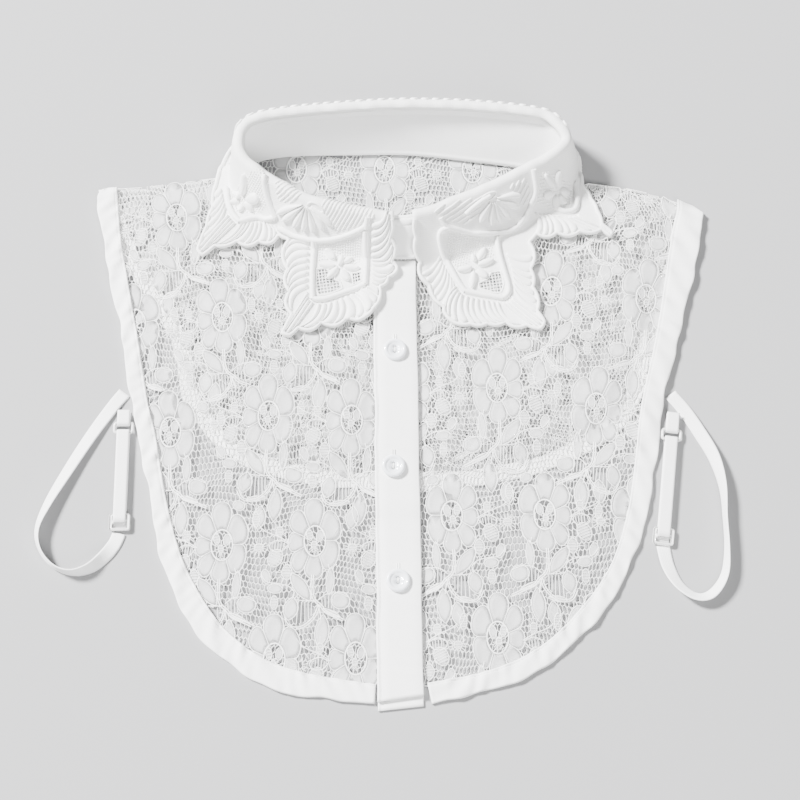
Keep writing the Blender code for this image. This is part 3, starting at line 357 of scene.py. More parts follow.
class Lie:
    """Heights of the collar's layers, in millimetres over the surface it lies on."""

    SEAM_FLAT = 28.0
    FOLD_R = 2.0
    FOOT_SHARE = 0.22
    LEAST_RUN = 6.0
    RUN_SPARE = 4.9
    FLARE = 0.7
    LEAF_LIFT = 0.6
    STAND_LIFT = 0.8
    # Each ramp says where it starts and how long it is
    HEM_RAMP = (18.0, 11.0)
    BACK_PUFF, BACK_PUFF_RUN = 1.2, 30.0
    NECK_RISE, NECK_RISE_RUN = 2.6, 45.0
    PLACKET_CLEAR = (12.0, 8.0)
    PLACKET_RAMP = (9.0, 7.0)
    SEAM_RAMP = (6.0, 5.0)
    FRONTS_BOX = ((-172.0, -162.0), (172.0, 142.0))
    FRONTS_STEP = 1.6

    def __init__(self) -> None:
        """Lay the curves and fill the grid of the fronts' heights."""
        self.ring = Track(flow(NECK_RING, closed=True))
        self.fold = self.ring.points[:, :2]
        self.seam = self.ring.points[:, 2:4]
        self.hem = Track(flow(BACK_EDGE)).even(6.0)
        self.hem_area = np.vstack([self.hem, (200.0, 200.0), (-200.0, 200.0)])
        self.shoulders = np.vstack([LEFT_SHOULDER, RIGHT_SHOULDER])
        self.fronts = Grid.of(self._front, *self.FRONTS_BOX, self.FRONTS_STEP)
        self.falls = self._falls()

    def shoulder(self, points: Array) -> Array:
        """Return the y of the shoulder line beside plan points."""
        return np.interp(points[:, 0], *self.shoulders.T)

    def shoulder_depth(self, points: Array) -> Array:
        """Return how far plan points lie in front of the shoulder line."""
        return self.shoulder(points) - points[:, 1]

    def trimmed(self, points: Array) -> Array:
        """Return plan points kept a gap in front of the shoulder line."""
        top = self.shoulder(points) - GAP
        return np.column_stack([points[:, 0], np.minimum(points[:, 1], top)])

    def _front(self, points: Array) -> Array:
        """Return the height of the fronts' underside by its own rule.

        Args:
            points: plan points.

        Returns:
            A height for each.
        """
        hem = nearest(points, self.hem)[0]
        over_back = inside(points, self.hem_area)
        start, ramp = self.HEM_RAMP
        raised = np.where(over_back, 1.0, smooth((start - hem) / ramp))
        puff = np.where(over_back, self.BACK_PUFF * smooth(hem / self.BACK_PUFF_RUN), 0.0)
        off_seam = smooth(self.shoulder_depth(points) / self.SEAM_FLAT)
        off_neck = nearest(points, self.seam[::4])[0]
        rise = self.NECK_RISE * smooth(1.0 - off_neck / self.NECK_RISE_RUN)
        height = (BACK_BAND + GAP) * raised + (puff + rise) * off_seam
        start, ramp = self.PLACKET_CLEAR
        off_placket = smooth((abs(points[:, 0] - placket_middle(points[:, 1])) - start) / ramp)
        for rows, fade in ((FOLDS, off_seam), (CREASES, off_seam * off_placket)):
            for x0, y0, x1, y1, high, spread in rows:
                away, _, share = nearest(points, np.array(((x0, y0), (x1, y1))))
                taper = np.sin(math.pi * (0.08 + 0.84 * share))
                bell = np.exp(-(away / spread) ** 2) * (away < 3.0 * spread)
                height += high * taper * fade * bell
        return height

    def front(self, points: Array) -> Array:
        """Return the height of the fronts' underside."""
        return self.fronts.at(points)

    def placket(self, y: Array) -> Array:
        """Return the height that the placket's layers lie on."""
        y = np.atleast_1d(y)
        return self.front(np.stack([placket_middle(y), y], axis=1))

    def top_of_fronts(self, points: Array) -> Array:
        """Return the height of the fronts' upper face, placket included.

        Args:
            points: plan points.

        Returns:
            A height for each.
        """
        off = abs(points[:, 0] - placket_middle(points[:, 1]))
        start, ramp = self.PLACKET_RAMP
        over = smooth((PLACKET_HALF + start - off) / ramp)
        lace = self.front(points) + LACE
        return lace + (self.placket(points[:, 1]) + PLACKET_STACK - lace) * over

    def cover(self, points: Array) -> Array:
        """Return 1 where the fronts lie under the collar and 0 behind the shoulder seam."""
        return smooth((self.shoulder_depth(points) + self.SEAM_RAMP[0]) / self.SEAM_RAMP[1])

    def leaf_ground(self, points: Array) -> Array:
        """Return the height that the leaf's underside comes down to."""
        return self.cover(points) * self.top_of_fronts(points) + self.LEAF_LIFT

    def fold_distance(self, points: Array) -> tuple[Array, Array]:
        """Return how far plan points lie outside the fold line, and the place along it.

        Args:
            points: plan points.

        Returns:
            The distances, below 0 within the neck, and the places.
        """
        away, index, share = nearest(points, self.fold)
        run = self.ring.run
        along = run[index] + share * (run[index + 1] - run[index])
        return np.where(inside(points, self.fold[:-1]), -away, away), along

    def _falls(self) -> tuple[Array, Array]:
        """Return places along the fold and the plan width of the leaf's fall there.

        Returns:
            The places and the widths.
        """
        away, place = self.fold_distance(self.seam[:-1:3])
        need, place = (away + self.RUN_SPARE)[away > 0.0], place[away > 0.0]
        whole = self.ring.length
        along = whole * np.arange(97) / 96
        apart = abs((along[:, None] - place + 0.5 * whole) % whole - 0.5 * whole)
        return along, np.maximum(self.LEAST_RUN, (need - self.FLARE * apart).max(1))

    def _fallen(self, away: Array, run: Array, drop: Array) -> Array:
        """Return how far the leaf has come down at a distance outside its fold.

        Args:
            away: distances outside the fold.
            run: the fall's plan width at each.
            drop: the fall's height at each.

        Returns:
            How far down each place lies.
        """
        foot = self.FOOT_SHARE * run
        both = self.FOLD_R + foot
        straight = np.sqrt(np.maximum(0.01, run ** 2 + (drop - both) ** 2 - both ** 2))
        slope = np.arctan2(drop - both, run) + np.arctan2(both, straight)
        roll = self.FOLD_R - np.sqrt(np.maximum(0.0, self.FOLD_R ** 2 - away ** 2))
        knee = self.FOLD_R * np.sin(slope)
        down = self.FOLD_R * (1.0 - np.cos(slope)) + (away - knee) * np.tan(slope)
        bend = drop - foot + np.sqrt(np.maximum(0.0, foot ** 2 - (run - away) ** 2))
        fallen = np.where(away < run - foot * np.sin(slope), down, np.where(away < run, bend, drop))
        return np.where(away < knee, roll, fallen)

    def leaf(self, points: Array) -> Array:
        """Return the height of the leaf's underside.

        Args:
            points: plan points.

        Returns:
            A height for each.
        """
        away, along = self.fold_distance(points)
        run = np.interp(along, *self.falls)
        ground = self.leaf_ground(points)
        fold = self.ring.at(along % self.ring.length)[:, :2]
        reach = run / np.maximum(0.05, abs(away))
        landing = self.leaf_ground(fold + (points[:, :2] - fold) * reach[:, None])
        settle = (away / run) ** 2 * (ground - landing)
        falling = FOLD_Z - self._fallen(away, run, FOLD_Z - landing) + settle
        rolled = FOLD_Z - self._fallen(abs(away), run, np.full_like(run, FOLD_Z))
        return np.where(away >= run, ground, np.where(away <= 0.25 * self.FOLD_R, rolled, falling))


LIE = Lie()


# ---- finishes

class Weave(Enum):
    """How a cloth's ribs run: both ways, or across the attribute that is named here."""

    PLAIN = ""
    SATIN = "along"
    ELASTIC = "across"


class Graph:
    """A node graph that is filled one node at a time."""

    def __init__(self, group: bpy.types.NodeTree) -> None:
        """Keep the group of nodes."""
        self.group = group

    def add(self, kind: str, links: dict[str | int, object] | None = None,
            **settings: object) -> bpy.types.Node:
        """Add a node and join its inputs.

        Args:
            kind: the node's type.
            links: an output socket, or a value, for each input by name or number.
            settings: the node's own properties.

        Returns:
            The node.
        """
        node = self.group.nodes.new(kind)
        for key, value in settings.items():
            setattr(node, key, value)
        for key, value in (links or {}).items():
            self.set(node.inputs[key], value)
        return node

    def set(self, entry: bpy.types.NodeSocket, value: object) -> None:
        """Give an input a value, or join it to an output.

        Args:
            entry: the input.
            value: a plain value or an output.
        """
        if isinstance(value, bpy.types.NodeSocket):
            self.group.links.new(value, entry)
        else:
            entry.default_value = value

    def blend(self, share: bpy.types.NodeSocket,
              stops: dict[float, tuple[float, ...]]) -> bpy.types.NodeSocket:
        """Return the colour between two stops, each a place and a colour.

        Args:
            share: what runs from stop to stop.
            stops: a colour for each place.

        Returns:
            The colour output.
        """
        ramp = self.add("ShaderNodeValToRGB", {"Fac": share})
        for stop, (place, colour) in zip(ramp.color_ramp.elements, stops.items()):
            stop.position = place
            stop.color = (*colour, 1.0)
        return ramp.outputs["Color"]


@dataclass(frozen=True)
class Finish:
    """A finish that is laid on pieces: its name and its colour."""

    name: str
    colour: tuple[float, float, float]

    def material(self) -> bpy.types.Material:
        """Return the material, built once."""
        made = bpy.data.materials.get(self.name)
        if not made:
            made = bpy.data.materials.new(self.name)
            made.use_nodes = True
            graph = Graph(made.node_tree)
            place = graph.add("ShaderNodeTexCoord").outputs["Object"]
            shader = made.node_tree.nodes["Principled BSDF"]
            for key, value in self.settings(graph, place).items():
                graph.set(shader.inputs[key], value)
        return made

    def settings(self, graph: Graph, place: bpy.types.NodeSocket) -> dict[str, object]:
        """Return a value or an output for each of the shader's inputs."""
        raise NotImplementedError

    def darker(self, share: float) -> tuple[float, ...]:
        """Return the colour times a share."""
        return tuple(part * share for part in self.colour)


@dataclass(frozen=True)
class Cloth(Finish):
    """A cloth finish, with its weave in its bump and shade."""

    weave: Weave = Weave.PLAIN
    roughness: float = 0.8
    sheen: float = 0.25
    pitch: float = 0.4
    depth: float = 0.06
    shade: float = 0.06
    sheer: float = 0.0

    CLOUD = 90.0
    CLOUD_SHARE = 0.38
    STOPS = (0.2, 0.7)

    def settings(self, graph: Graph, place: bpy.types.NodeSocket) -> dict[str, object]:
        """Return what the shader's inputs are given.

        Args:
            graph: the material's nodes.
            place: the place on the object.

        Returns:
            A value or an output for each input.
        """
        if self.weave is Weave.PLAIN:
            pair = {k: self._ribs(graph, place, axis) for k, axis in enumerate("XY")}
            weave = graph.add("ShaderNodeMath", pair, operation="MULTIPLY").outputs[0]
        else:
            marks = graph.add("ShaderNodeAttribute", attribute_name=self.weave.value)
            weave = self._ribs(graph, marks.outputs["Fac"], "X")
        noise = graph.add("ShaderNodeTexNoise", {"Scale": self.CLOUD, "Detail": 3.0,
                                                 "Vector": place})
        tone = graph.add("ShaderNodeMix", {"Factor": self.CLOUD_SHARE, "A": weave,
                                           "B": noise.outputs["Fac"]}, data_type="FLOAT")
        dark, light = self.STOPS
        bump = graph.add("ShaderNodeBump", {"Strength": 0.5, "Distance": self.depth * MM,
                                            "Height": weave})
        return {"Roughness": self.roughness, "Sheen Weight": self.sheen, "Sheen Roughness": 0.5,
                "Specular IOR Level": 0.3, "Alpha": 1.0 - self.sheer,
                "Base Color": graph.blend(tone.outputs["Result"], {
                    dark: self.darker(1.0 - self.shade), light: self.colour}),
                "Normal": bump.outputs["Normal"]}

    def _ribs(self, graph: Graph, place: bpy.types.NodeSocket, axis: str) -> bpy.types.NodeSocket:
        """Return waves across an axis, with this cloth's pitch.

        Args:
            graph: the node graph.
            place: the place's output.
            axis: X, Y or Z.

        Returns:
            The waves' output.
        """
        return graph.add("ShaderNodeTexWave", {
            "Scale": 0.314 / (self.pitch * MM), "Distortion": 0.6, "Detail": 1.0,
            "Detail Scale": 0.6, "Vector": place}, wave_type="BANDS",
            bands_direction=axis).outputs["Fac"]


@dataclass(frozen=True)
class Plastic(Finish):
    """A glossy plastic finish with a faint cloud in its colour."""

    roughness: float = 0.28
    transmission: float = 0.0
    coat: float = 0.2

    CLOUD = 160.0

    def settings(self, graph: Graph, place: bpy.types.NodeSocket) -> dict[str, object]:
        """Return what the shader's inputs are given.

        Args:
            graph: the material's nodes.
            place: the place on the object.

        Returns:
            A value or an output for each input.
        """
        noise = graph.add("ShaderNodeTexNoise", {"Scale": self.CLOUD, "Vector": place})
        return {"Roughness": self.roughness, "Transmission Weight": self.transmission,
                "Coat Weight": self.coat, "Base Color": graph.blend(
                    noise.outputs["Fac"], {0.0: self.darker(0.93), 1.0: self.colour})}


NET = Cloth("lace_thread", (0.90, 0.90, 0.89), roughness=0.7, pitch=0.3)
CORDONNET = Cloth("lace_outline", (0.95, 0.95, 0.94), roughness=0.6, pitch=0.3)
GAUZE = Cloth("lace_clothwork", (0.85, 0.85, 0.85), roughness=0.75, pitch=0.45, depth=0.05,
              shade=0.10, sheer=0.45)
POPLIN = Cloth("cotton_poplin", (0.93, 0.93, 0.925), pitch=0.32, depth=0.035, shade=0.04)
SEWING = Cloth("sewing_thread", (0.95, 0.95, 0.94), roughness=0.55, pitch=0.25)
SATIN = Cloth("satin_stitch", (0.94, 0.94, 0.93), Weave.SATIN, roughness=0.5, sheen=0.35,
              pitch=0.36, depth=0.08)
LEAF_GROUND = Cloth("leaf_ground", (0.90, 0.90, 0.89), roughness=0.7, pitch=0.75, depth=0.16,
                    shade=0.10)
ELASTIC = Cloth("white_elastic", (0.93, 0.93, 0.93), Weave.ELASTIC, roughness=0.6, pitch=0.8,
                depth=0.1, shade=0.08)
SHELL = Plastic("pearl_button", (0.86, 0.89, 0.94), roughness=0.22, coat=0.4)
CLEAR = Plastic("milky_slider", (0.90, 0.90, 0.89), roughness=0.3, transmission=0.25)


# ---- node trees and meshes

class Socket(Enum):
    """Kinds of a node tree's inputs."""

    GEOMETRY = "NodeSocketGeometry"
    FLOAT = "NodeSocketFloat"
    INTEGER = "NodeSocketInt"
    MATERIAL = "NodeSocketMaterial"


class Tree(Graph):
    """A geometry node tree with named inputs, built once and used on many pieces."""

    def __init__(self, name: str, inputs: dict[str, Socket]) -> None:
        """Start the tree.

        Args:
            name: its name.
            inputs: the kind of each named input after the geometry.
        """
        super().__init__(bpy.data.node_groups.new(name, "GeometryNodeTree"))
        made = {label: self.group.interface.new_socket(label, in_out="INPUT",
                                                       socket_type=kind.value)
                for label, kind in {"Geometry": Socket.GEOMETRY, **inputs}.items()}
        self.keys = {label: socket.identifier for label, socket in made.items()}
        self.group.interface.new_socket("Geometry", in_out="OUTPUT",
                                        socket_type=Socket.GEOMETRY.value)
        self.given = self.group.nodes.new("NodeGroupInput").outputs
        self.end = self.group.nodes.new("NodeGroupOutput")

    def close(self, geometry: bpy.types.NodeSocket) -> None:
        """Realize what is left of instances, give the material and join the output.

        Args:
            geometry: the last output.
        """
        real = self.add("GeometryNodeRealizeInstances", {"Geometry": geometry})
        dressed = self.add("GeometryNodeSetMaterial", {
            "Geometry": real.outputs[0], "Material": self.given["Material"]})
        self.group.links.new(dressed.outputs[0], self.end.inputs[0])

    def run(self, made: bpy.types.Object, values: dict[str, object]) -> bpy.types.Object:
        """Run the tree on an object and keep the plain mesh.

        Args:
            made: the object, whose mesh holds the paths.
            values: each named input's value.

        Returns:
            The same object with its new mesh.
        """
        live = made.modifiers.new("nodes", "NODES")
        live.node_group = self.group
        for label, value in values.items():
            live[self.keys[label]] = value
        made.update_tag()
        bpy.context.view_layer.update()
        graph = bpy.context.evaluated_depsgraph_get()
        mesh = bpy.data.meshes.new_from_object(made.evaluated_get(graph), depsgraph=graph,
                                               preserve_all_data_layers=True)
        made.modifiers.remove(live)
        old = made.data
        made.data = mesh
        bpy.data.meshes.remove(old)
        mesh.name = made.name
        return made


def thread_tree() -> Tree:
    """Return the tree that turns edges into round threads, thicker where thick is higher."""
    tree = Tree("threads", {"Radius": Socket.FLOAT, "Sides": Socket.INTEGER,
                            "Material": Socket.MATERIAL})
    curve = tree.add("GeometryNodeMeshToCurve", {"Mesh": tree.given["Geometry"]})
    thick = tree.add("GeometryNodeInputNamedAttribute", {"Name": "thick"}, data_type="FLOAT")
    sized = tree.add("GeometryNodeSetCurveRadius", {
        "Curve": curve.outputs[0], "Radius": thick.outputs["Attribute"]})
    place = tree.add("GeometryNodeSplineParameter")
    marked = tree.add("GeometryNodeStoreNamedAttribute", {
        "Geometry": sized.outputs[0], "Name": "along", "Value": place.outputs["Length"]},
        data_type="FLOAT", domain="POINT")
    ring = tree.add("GeometryNodeCurvePrimitiveCircle", {
        "Resolution": tree.given["Sides"], "Radius": tree.given["Radius"]})
    tube = tree.add("GeometryNodeCurveToMesh", {
        "Curve": marked.outputs[0], "Profile Curve": ring.outputs[0], "Fill Caps": True})
    if "Scale" in tube.inputs:
        tree.group.links.new(thick.outputs["Attribute"], tube.inputs["Scale"])
    soft = tree.add("GeometryNodeSetShadeSmooth", {"Geometry": tube.outputs[0]})
    tree.close(soft.outputs[0])
    return tree


def stitch_tree() -> Tree:
    """Return the tree that lays short round stitches along edges."""
    tree = Tree("stitches", {"Length": Socket.FLOAT, "Gap": Socket.FLOAT,
                             "Radius": Socket.FLOAT, "Material": Socket.MATERIAL})
    curve = tree.add("GeometryNodeMeshToCurve", {"Mesh": tree.given["Geometry"]})
    pitch = tree.add("ShaderNodeMath", {0: tree.given["Length"], 1: tree.given["Gap"]},
                     operation="ADD")
    points = tree.add("GeometryNodeCurveToPoints", {
        "Curve": curve.outputs[0], "Length": pitch.outputs[0]}, mode="LENGTH")
    bead = tree.add("GeometryNodeMeshUVSphere", {"Segments": 6, "Rings": 5, "Radius": 1.0})
    half = tree.add("ShaderNodeMath", {0: tree.given["Length"], 1: 0.5},
                    operation="MULTIPLY")
    size = tree.add("ShaderNodeCombineXYZ", {
        "X": tree.given["Radius"], "Y": tree.given["Radius"], "Z": half.outputs[0]})
    laid = tree.add("GeometryNodeInstanceOnPoints", {
        "Points": points.outputs["Points"], "Instance": bead.outputs["Mesh"],
        "Rotation": points.outputs["Rotation"], "Scale": size.outputs[0]})
    soft = tree.add("GeometryNodeSetShadeSmooth", {"Geometry": laid.outputs[0]})
    tree.close(soft.outputs[0])
    return tree


THREAD_TREE = thread_tree()
STITCH_TREE = stitch_tree()


def mark(made: bpy.types.Object, name: str, values: Array) -> None:
    """Give a piece's points an attribute."""
    marks = made.data.attributes.new(name, "FLOAT", "POINT")
    marks.data.foreach_set("value", values.astype(np.float32))


def new_object(name: str, points: Array, faces: Sequence = (),
               edges: Sequence = ()) -> bpy.types.Object:
    """Make an object from points in millimetres.

    Args:
        name: the piece's name.
        points: the vertices.
        faces: the faces, by vertex.
        edges: the loose edges, by vertex.

    Returns:
        The linked object.
    """
    mesh = bpy.data.meshes.new(name)
    mesh.from_pydata((np.asarray(points, float) * MM).tolist(), [tuple(e) for e in edges],
                     [tuple(f) for f in faces])
    mesh.update()
    made = bpy.data.objects.new(name, mesh)
    bpy.context.scene.collection.objects.link(made)
    return made


def finish_piece(made: bpy.types.Object, finish: Cloth | Plastic,
                 nodes: tuple[str, ...] = ()) -> bpy.types.Object:
    """Dress a piece, let it ride on the body and hide the CAD nodes that it replaces.

    Args:
        made: the piece.
        finish: its material.
        nodes: the CAD nodes that it replaces.

    Returns:
        The piece.
    """
    if not made.data.materials:
        made.data.materials.append(finish.material())
    made.data.shade_smooth()
    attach(made, BODY)
    if nodes:
        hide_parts(*nodes)
    triangles = sum(len(face.vertices) - 2 for face in made.data.polygons)
    LOG.info("%s: %d triangles", made.name, triangles)
    return made


def join(made: bpy.types.Object, other: bpy.types.Object) -> None:
    """Make an object's mesh part of another's, with its own material.

    Args:
        made: the object that grows.
        other: the object that is taken up.
    """
    with bpy.context.temp_override(active_object=made, object=made,
                                   selected_editable_objects=[made, other]):
        bpy.ops.object.join()


@dataclass(frozen=True)
class Stitch:
    """A kind of stitch: its length, the gap to the next and its thread's radius."""

    length: float
    gap: float
    radius: float


@dataclass
class Threads:
    """Lines and webs that become round threads."""

    points: list[Array] = field(default_factory=list)
    edges: list[Array] = field(default_factory=list)
    thick: list[Array] = field(default_factory=list)
    count: int = 0

    def web(self, points: Array, edges: Array, thick: float | Array = 1.0) -> None:
        """Add points and the edges between them.

        Args:
            points: the points.
            edges: pairs of their indexes.
            thick: the threads' thickness, as a share.
        """
        self.points.append(points)
        self.edges.append(np.asarray(edges, int).reshape(-1, 2) + self.count)
        self.thick.append(np.broadcast_to(thick, len(points)).astype(float))
        self.count += len(points)

    def line(self, points: Array, thick: float | Array = 1.0, closed: bool = False) -> None:
        """Add one line of points, closed or open.

        Args:
            points: the points.
            thick: the thickness, for all or for each.
            closed: whether it joins its start.
        """
        index = np.arange(len(points))
        edges = np.stack([index, np.roll(index, -1)], axis=1)
        self.web(points, edges if closed else edges[:-1], thick)

    def source(self, name: str) -> bpy.types.Object:
        """Return an object that holds the lines as edges.

        Args:
            name: the object's name.

        Returns:
            The object.
        """
        made = new_object(name, np.vstack(self.points), edges=np.vstack(self.edges))
        mark(made, "thick", np.concatenate(self.thick))
        return made

    def make(self, name: str, radius: float, sides: int,
             finish: Cloth, slot: str) -> bpy.types.Object:
        """Make one piece of all the threads.

        Args:
            name: the piece's name.
            radius: a thread's radius in millimetres, where thick is 1.
            sides: how many sides it has.
            finish: its material.
            slot: not used.

        Returns:
            The finished piece.
        """
        made = THREAD_TREE.run(self.source(name), {
            "Radius": radius * MM, "Sides": sides, "Material": finish.material()})
        return finish_piece(made, finish)

    def stitch(self, name: str, kind: Stitch) -> bpy.types.Object:
        """Make one piece of stitches along the lines.

        Args:
            name: the piece's name.
            kind: the stitches' sizes.

        Returns:
            The piece.
        """
        made = STITCH_TREE.run(self.source(name), {
            "Length": kind.length * MM, "Gap": kind.gap * MM, "Radius": kind.radius * MM,
            "Material": SEWING.material()})
        return finish_piece(made, SEWING)


@dataclass
class Faces:
    """Points and faces gathered into one mesh."""

    points: list[Array] = field(default_factory=list)
    faces: list[tuple[int, ...]] = field(default_factory=list)
    count: int = 0

    def add(self, points: Array, faces: list[tuple[int, ...]]) -> None:
        """Add a closed part.

        Args:
            points: the part's vertices.
            faces: its faces, by vertex.
        """
        self.points.append(points)
        self.faces += [tuple(k + self.count for k in face) for face in faces]
        self.count += len(points)

    def make(self, name: str, finish: Cloth | Plastic, slot: str,
             nodes: tuple[str, ...] = ()) -> bpy.types.Object:
        """Return the finished piece."""
        return finish_piece(new_object(name, np.vstack(self.points), self.faces),
                            finish, nodes)


def with_height(points: Array, heights: Array | float) -> Array:
    """Return plan points with their heights as a third column."""
    return np.column_stack([points[:, :2], np.broadcast_to(heights, len(points))])


LOBE_STEPS = 12


def lobed(rows: Array, side: float, steps: int = LOBE_STEPS) -> Array:
    """Return a scalloped edge through notches.

    Args:
        rows: x and y of each notch and the bulge of the lobe that follows.
        side: 1 where the lobes bulge to the left of the edge's way, or -1.
        steps: points for each lobe.

    Returns:
        The edge.
    """
    a, b = rows[:-1, None, :], rows[1:, None, :]
    way = b[..., :2] - a[..., :2]
    share = (np.arange(steps) / steps)[None, :]
    swell = side * a[..., 2] * np.sin(math.pi * share) ** 0.8 / np.hypot(way[..., 0], way[..., 1])
    edge = a[..., :2] + way * share[..., None]
    edge = edge + np.stack([-way[..., 1] * swell, way[..., 0] * swell], axis=-1)
    return np.vstack([edge.reshape(-1, 2), rows[-1:, :2]])


def held_down(points: Array) -> Array:
    """Return how far plan points lie from the leaf, the stand and the back's hem.

    Args:
        points: plan points.

    Returns:
        The least distance of each.
    """
    ring = np.vstack([lobed(LEFT_LOBES, 1.0, 3), lobed(RIGHT_LOBES, -1.0, 3)[::-1]])
    away = np.minimum(nearest(points, ring)[0], nearest(points, LIE.seam[::4])[0])
    away = np.minimum(away, np.maximum(0.0, nearest(points, LIE.hem)[0] - 4.0))
    return np.where(inside(points, ring), 0.0, away)


HELD_DOWN = Grid.of(held_down, (-172.0, -160.0), (172.0, 150.0), 3.0)


# ---- the lace's repeat

class Form(Enum):
    """How pointed the ends of the lace's solid shapes are: 0.5 is round."""

    OVAL = 0.5
    LEAF = 0.85


@dataclass(frozen=True)
class Plate:
    """A solid shape of the lace, in its sprig's own frame."""

    x: float
    y: float
    half_width: float
    half_length: float
    turn: float = 0.0
    form: Form = Form.OVAL
    stitched: bool = False
    spokes: int = 0

    def rim(self, count: int = 14) -> Array:
        """Return the outline's points.

        Args:
            count: the number of points.

        Returns:
            The points.
        """
        around = 2.0 * math.pi * np.arange(count) / count
        along = np.cos(around)
        across = np.sign(np.sin(around)) * abs(np.sin(around)) ** (2.0 * self.form.value)
        return self.laid(np.stack([self.half_width * across, self.half_length * along], axis=1))

    def laid(self, local: Array) -> Array:
        """Return this shape's own points in its sprig's frame."""
        return turned(local, self.turn) + (self.x, self.y)

    def outside(self, points: Array) -> Array:
        """Return a measure that is below 0 inside the outline.

        Args:
            points: plan points in the sprig's frame.

        Returns:
            A measure for each.
        """
        local = turned(points - (self.x, self.y), -self.turn)
        level = np.clip(local[:, 1] / self.half_length, -1.0, 1.0)
        width = self.half_width * (1.0 - level ** 2) ** self.form.value
        past = np.maximum(0.0, abs(local[:, 1]) - self.half_length)
        return abs(local[:, 0]) - width + past


@dataclass(frozen=True)
class Ladder:
    """A field of bars between an upper and a lower line of the sprig."""

    upper: Array
    lower: Array
    bars: int

    def ends(self) -> tuple[Array, Array]:
        """Return the bars' upper and lower ends.

        Returns:
            The upper and the lower ends.
        """
        where = (np.arange(self.bars) + 0.5) / self.bars
        tracks = Track(flow(self.upper)), Track(flow(self.lower))
        return tuple(track.at(where * track.length) for track in tracks)

    def outline(self) -> Array:
        """Return the field's closed outline."""
        return np.vstack([flow(self.upper), flow(self.lower)[::-1]])


@dataclass(frozen=True)
class Stem:
    """A line of outline thread, or a pair of them a gap apart."""

    points: Array
    gap: float = 0.0
    thick: float = 1.0


@dataclass(frozen=True)
class Bloom:
    """The flower: petals that meet round its ring, in the ring's own stretched frame."""

    ring: tuple[float, float] = (5.3, 8.0)
    ends: tuple[float, ...] = (-61.8, -22.2, 16.2, 60.4, 113.9, 178.5, 245.6, 298.2)
    tips: tuple[float, ...] = (2.72, 2.5, 2.8, 2.86, 2.66, 2.45, 2.5)
    notch: float = 1.78

    def place(self, turn: Array, reach: Array | float) -> Array:
        """Return points at turns in degrees and at a reach, which is 1 on the ring.

        Args:
            turn: the turns.
            reach: the reaches.

        Returns:
            The points.
        """
        turn = np.radians(turn)
        return np.stack([self.ring[0] * reach * np.cos(turn), self.ring[1] * reach * np.sin(turn)],
                        axis=-1)

    def reach(self, turn: Array) -> Array:
        """Return how far the petals reach at each turn.

        Args:
            turn: the turns, in degrees.

        Returns:
            A reach for each.
        """
        turn = (turn - self.ends[0]) % 360.0 + self.ends[0]
        index = np.clip(np.searchsorted(self.ends, turn, side="right") - 1, 0, len(self.tips) - 1)
        a, b = np.array(self.ends)[index], np.array(self.ends)[index + 1]
        swing = np.clip(abs(2.0 * turn - a - b) / (b - a), 0.0, 1.0)
        return self.notch + (np.array(self.tips)[index] - self.notch) * (1.0 - swing ** 2.4) ** 0.5

    def petals(self) -> list[Array]:
        """Return each petal's outline.

        Returns:
            The outlines.
        """
        rims = []
        for a, b, tip in zip(self.ends, self.ends[1:], self.tips):
            swing = np.cos(np.linspace(0.0, math.pi, 14))
            turn = 0.5 * (a + b) + 0.5 * (b - a) * swing
            reach = self.notch + (tip - self.notch) * (1.0 - abs(swing) ** 2.4) ** 0.5
            foot = self.place(np.linspace(a, b, 6), 1.03)
            rims.append(np.vstack([foot, self.place(turn, reach)]))
        return rims

    def rim(self, count: int) -> Array:
        """Return the ring's points."""
        return self.place(360.0 * np.arange(count) / count, 1.0)

    def outside(self, points: Array) -> Array:
        """Return a measure that is below 0 on the petals.

        Args:
            points: plan points in the sprig's frame.

        Returns:
            A measure for each.
        """
        scaled = points / self.ring
        reach = np.hypot(*scaled.T)
        turn = np.degrees(np.arctan2(scaled[:, 1], scaled[:, 0]))
        return 6.0 * np.maximum(reach - self.reach(turn), 1.0 - reach)


BLOOM = Bloom()
PLATES = (
    Plate(0.5, -2, 1.3, 1.9, 0, Form.OVAL, True, 11), Plate(-2.4, 2.8, 1.7, 3, 8),
    Plate(2.7, 3.2, 1.5, 2.9, -8, Form.OVAL, True), Plate(-7.8, -21, 2, 7.6, 4, Form.LEAF),
    Plate(6.7, -24, 3.4, 8.7, -34, Form.LEAF),
    Plate(-4.1, -47.2, 3.6, 9, 4, Form.LEAF), Plate(11.4, -35.2, 3.7, 6, 12, Form.LEAF),
    Plate(-13, -31, 4.7, 4.3, 20), Plate(19.6, -9, 3.5, 4.9, 24, Form.OVAL, True),
    Plate(13.6, -16.4, 2.6, 4.3, 0, Form.LEAF, True, 8), Plate(24, -18.6, 2.1, 3.8, -12),
    Plate(19.4, -24.8, 3.7, 2.4, 6), Plate(19.6, -32, 1.8, 3.6, 0, Form.OVAL, True),
    Plate(28, 12.4, 3.2, 6.3, 6, Form.LEAF), Plate(17.6, 5, 1.7, 2.6, 0, Form.OVAL, True, 9),
    Plate(27.8, -3.4, 2, 2, 0, Form.OVAL, True, 14),
    Plate(5.2, -55.4, 1.8, 4.5, 0, Form.LEAF, True, 6), Plate(14, -47.8, 3.1, 2.5, 24),
    Plate(5.6, -44, 4.9, 1.5, -8, Form.LEAF, True),
    Plate(-8.6, -37.4, 4.9, 1.2, 26, Form.LEAF, True),
)
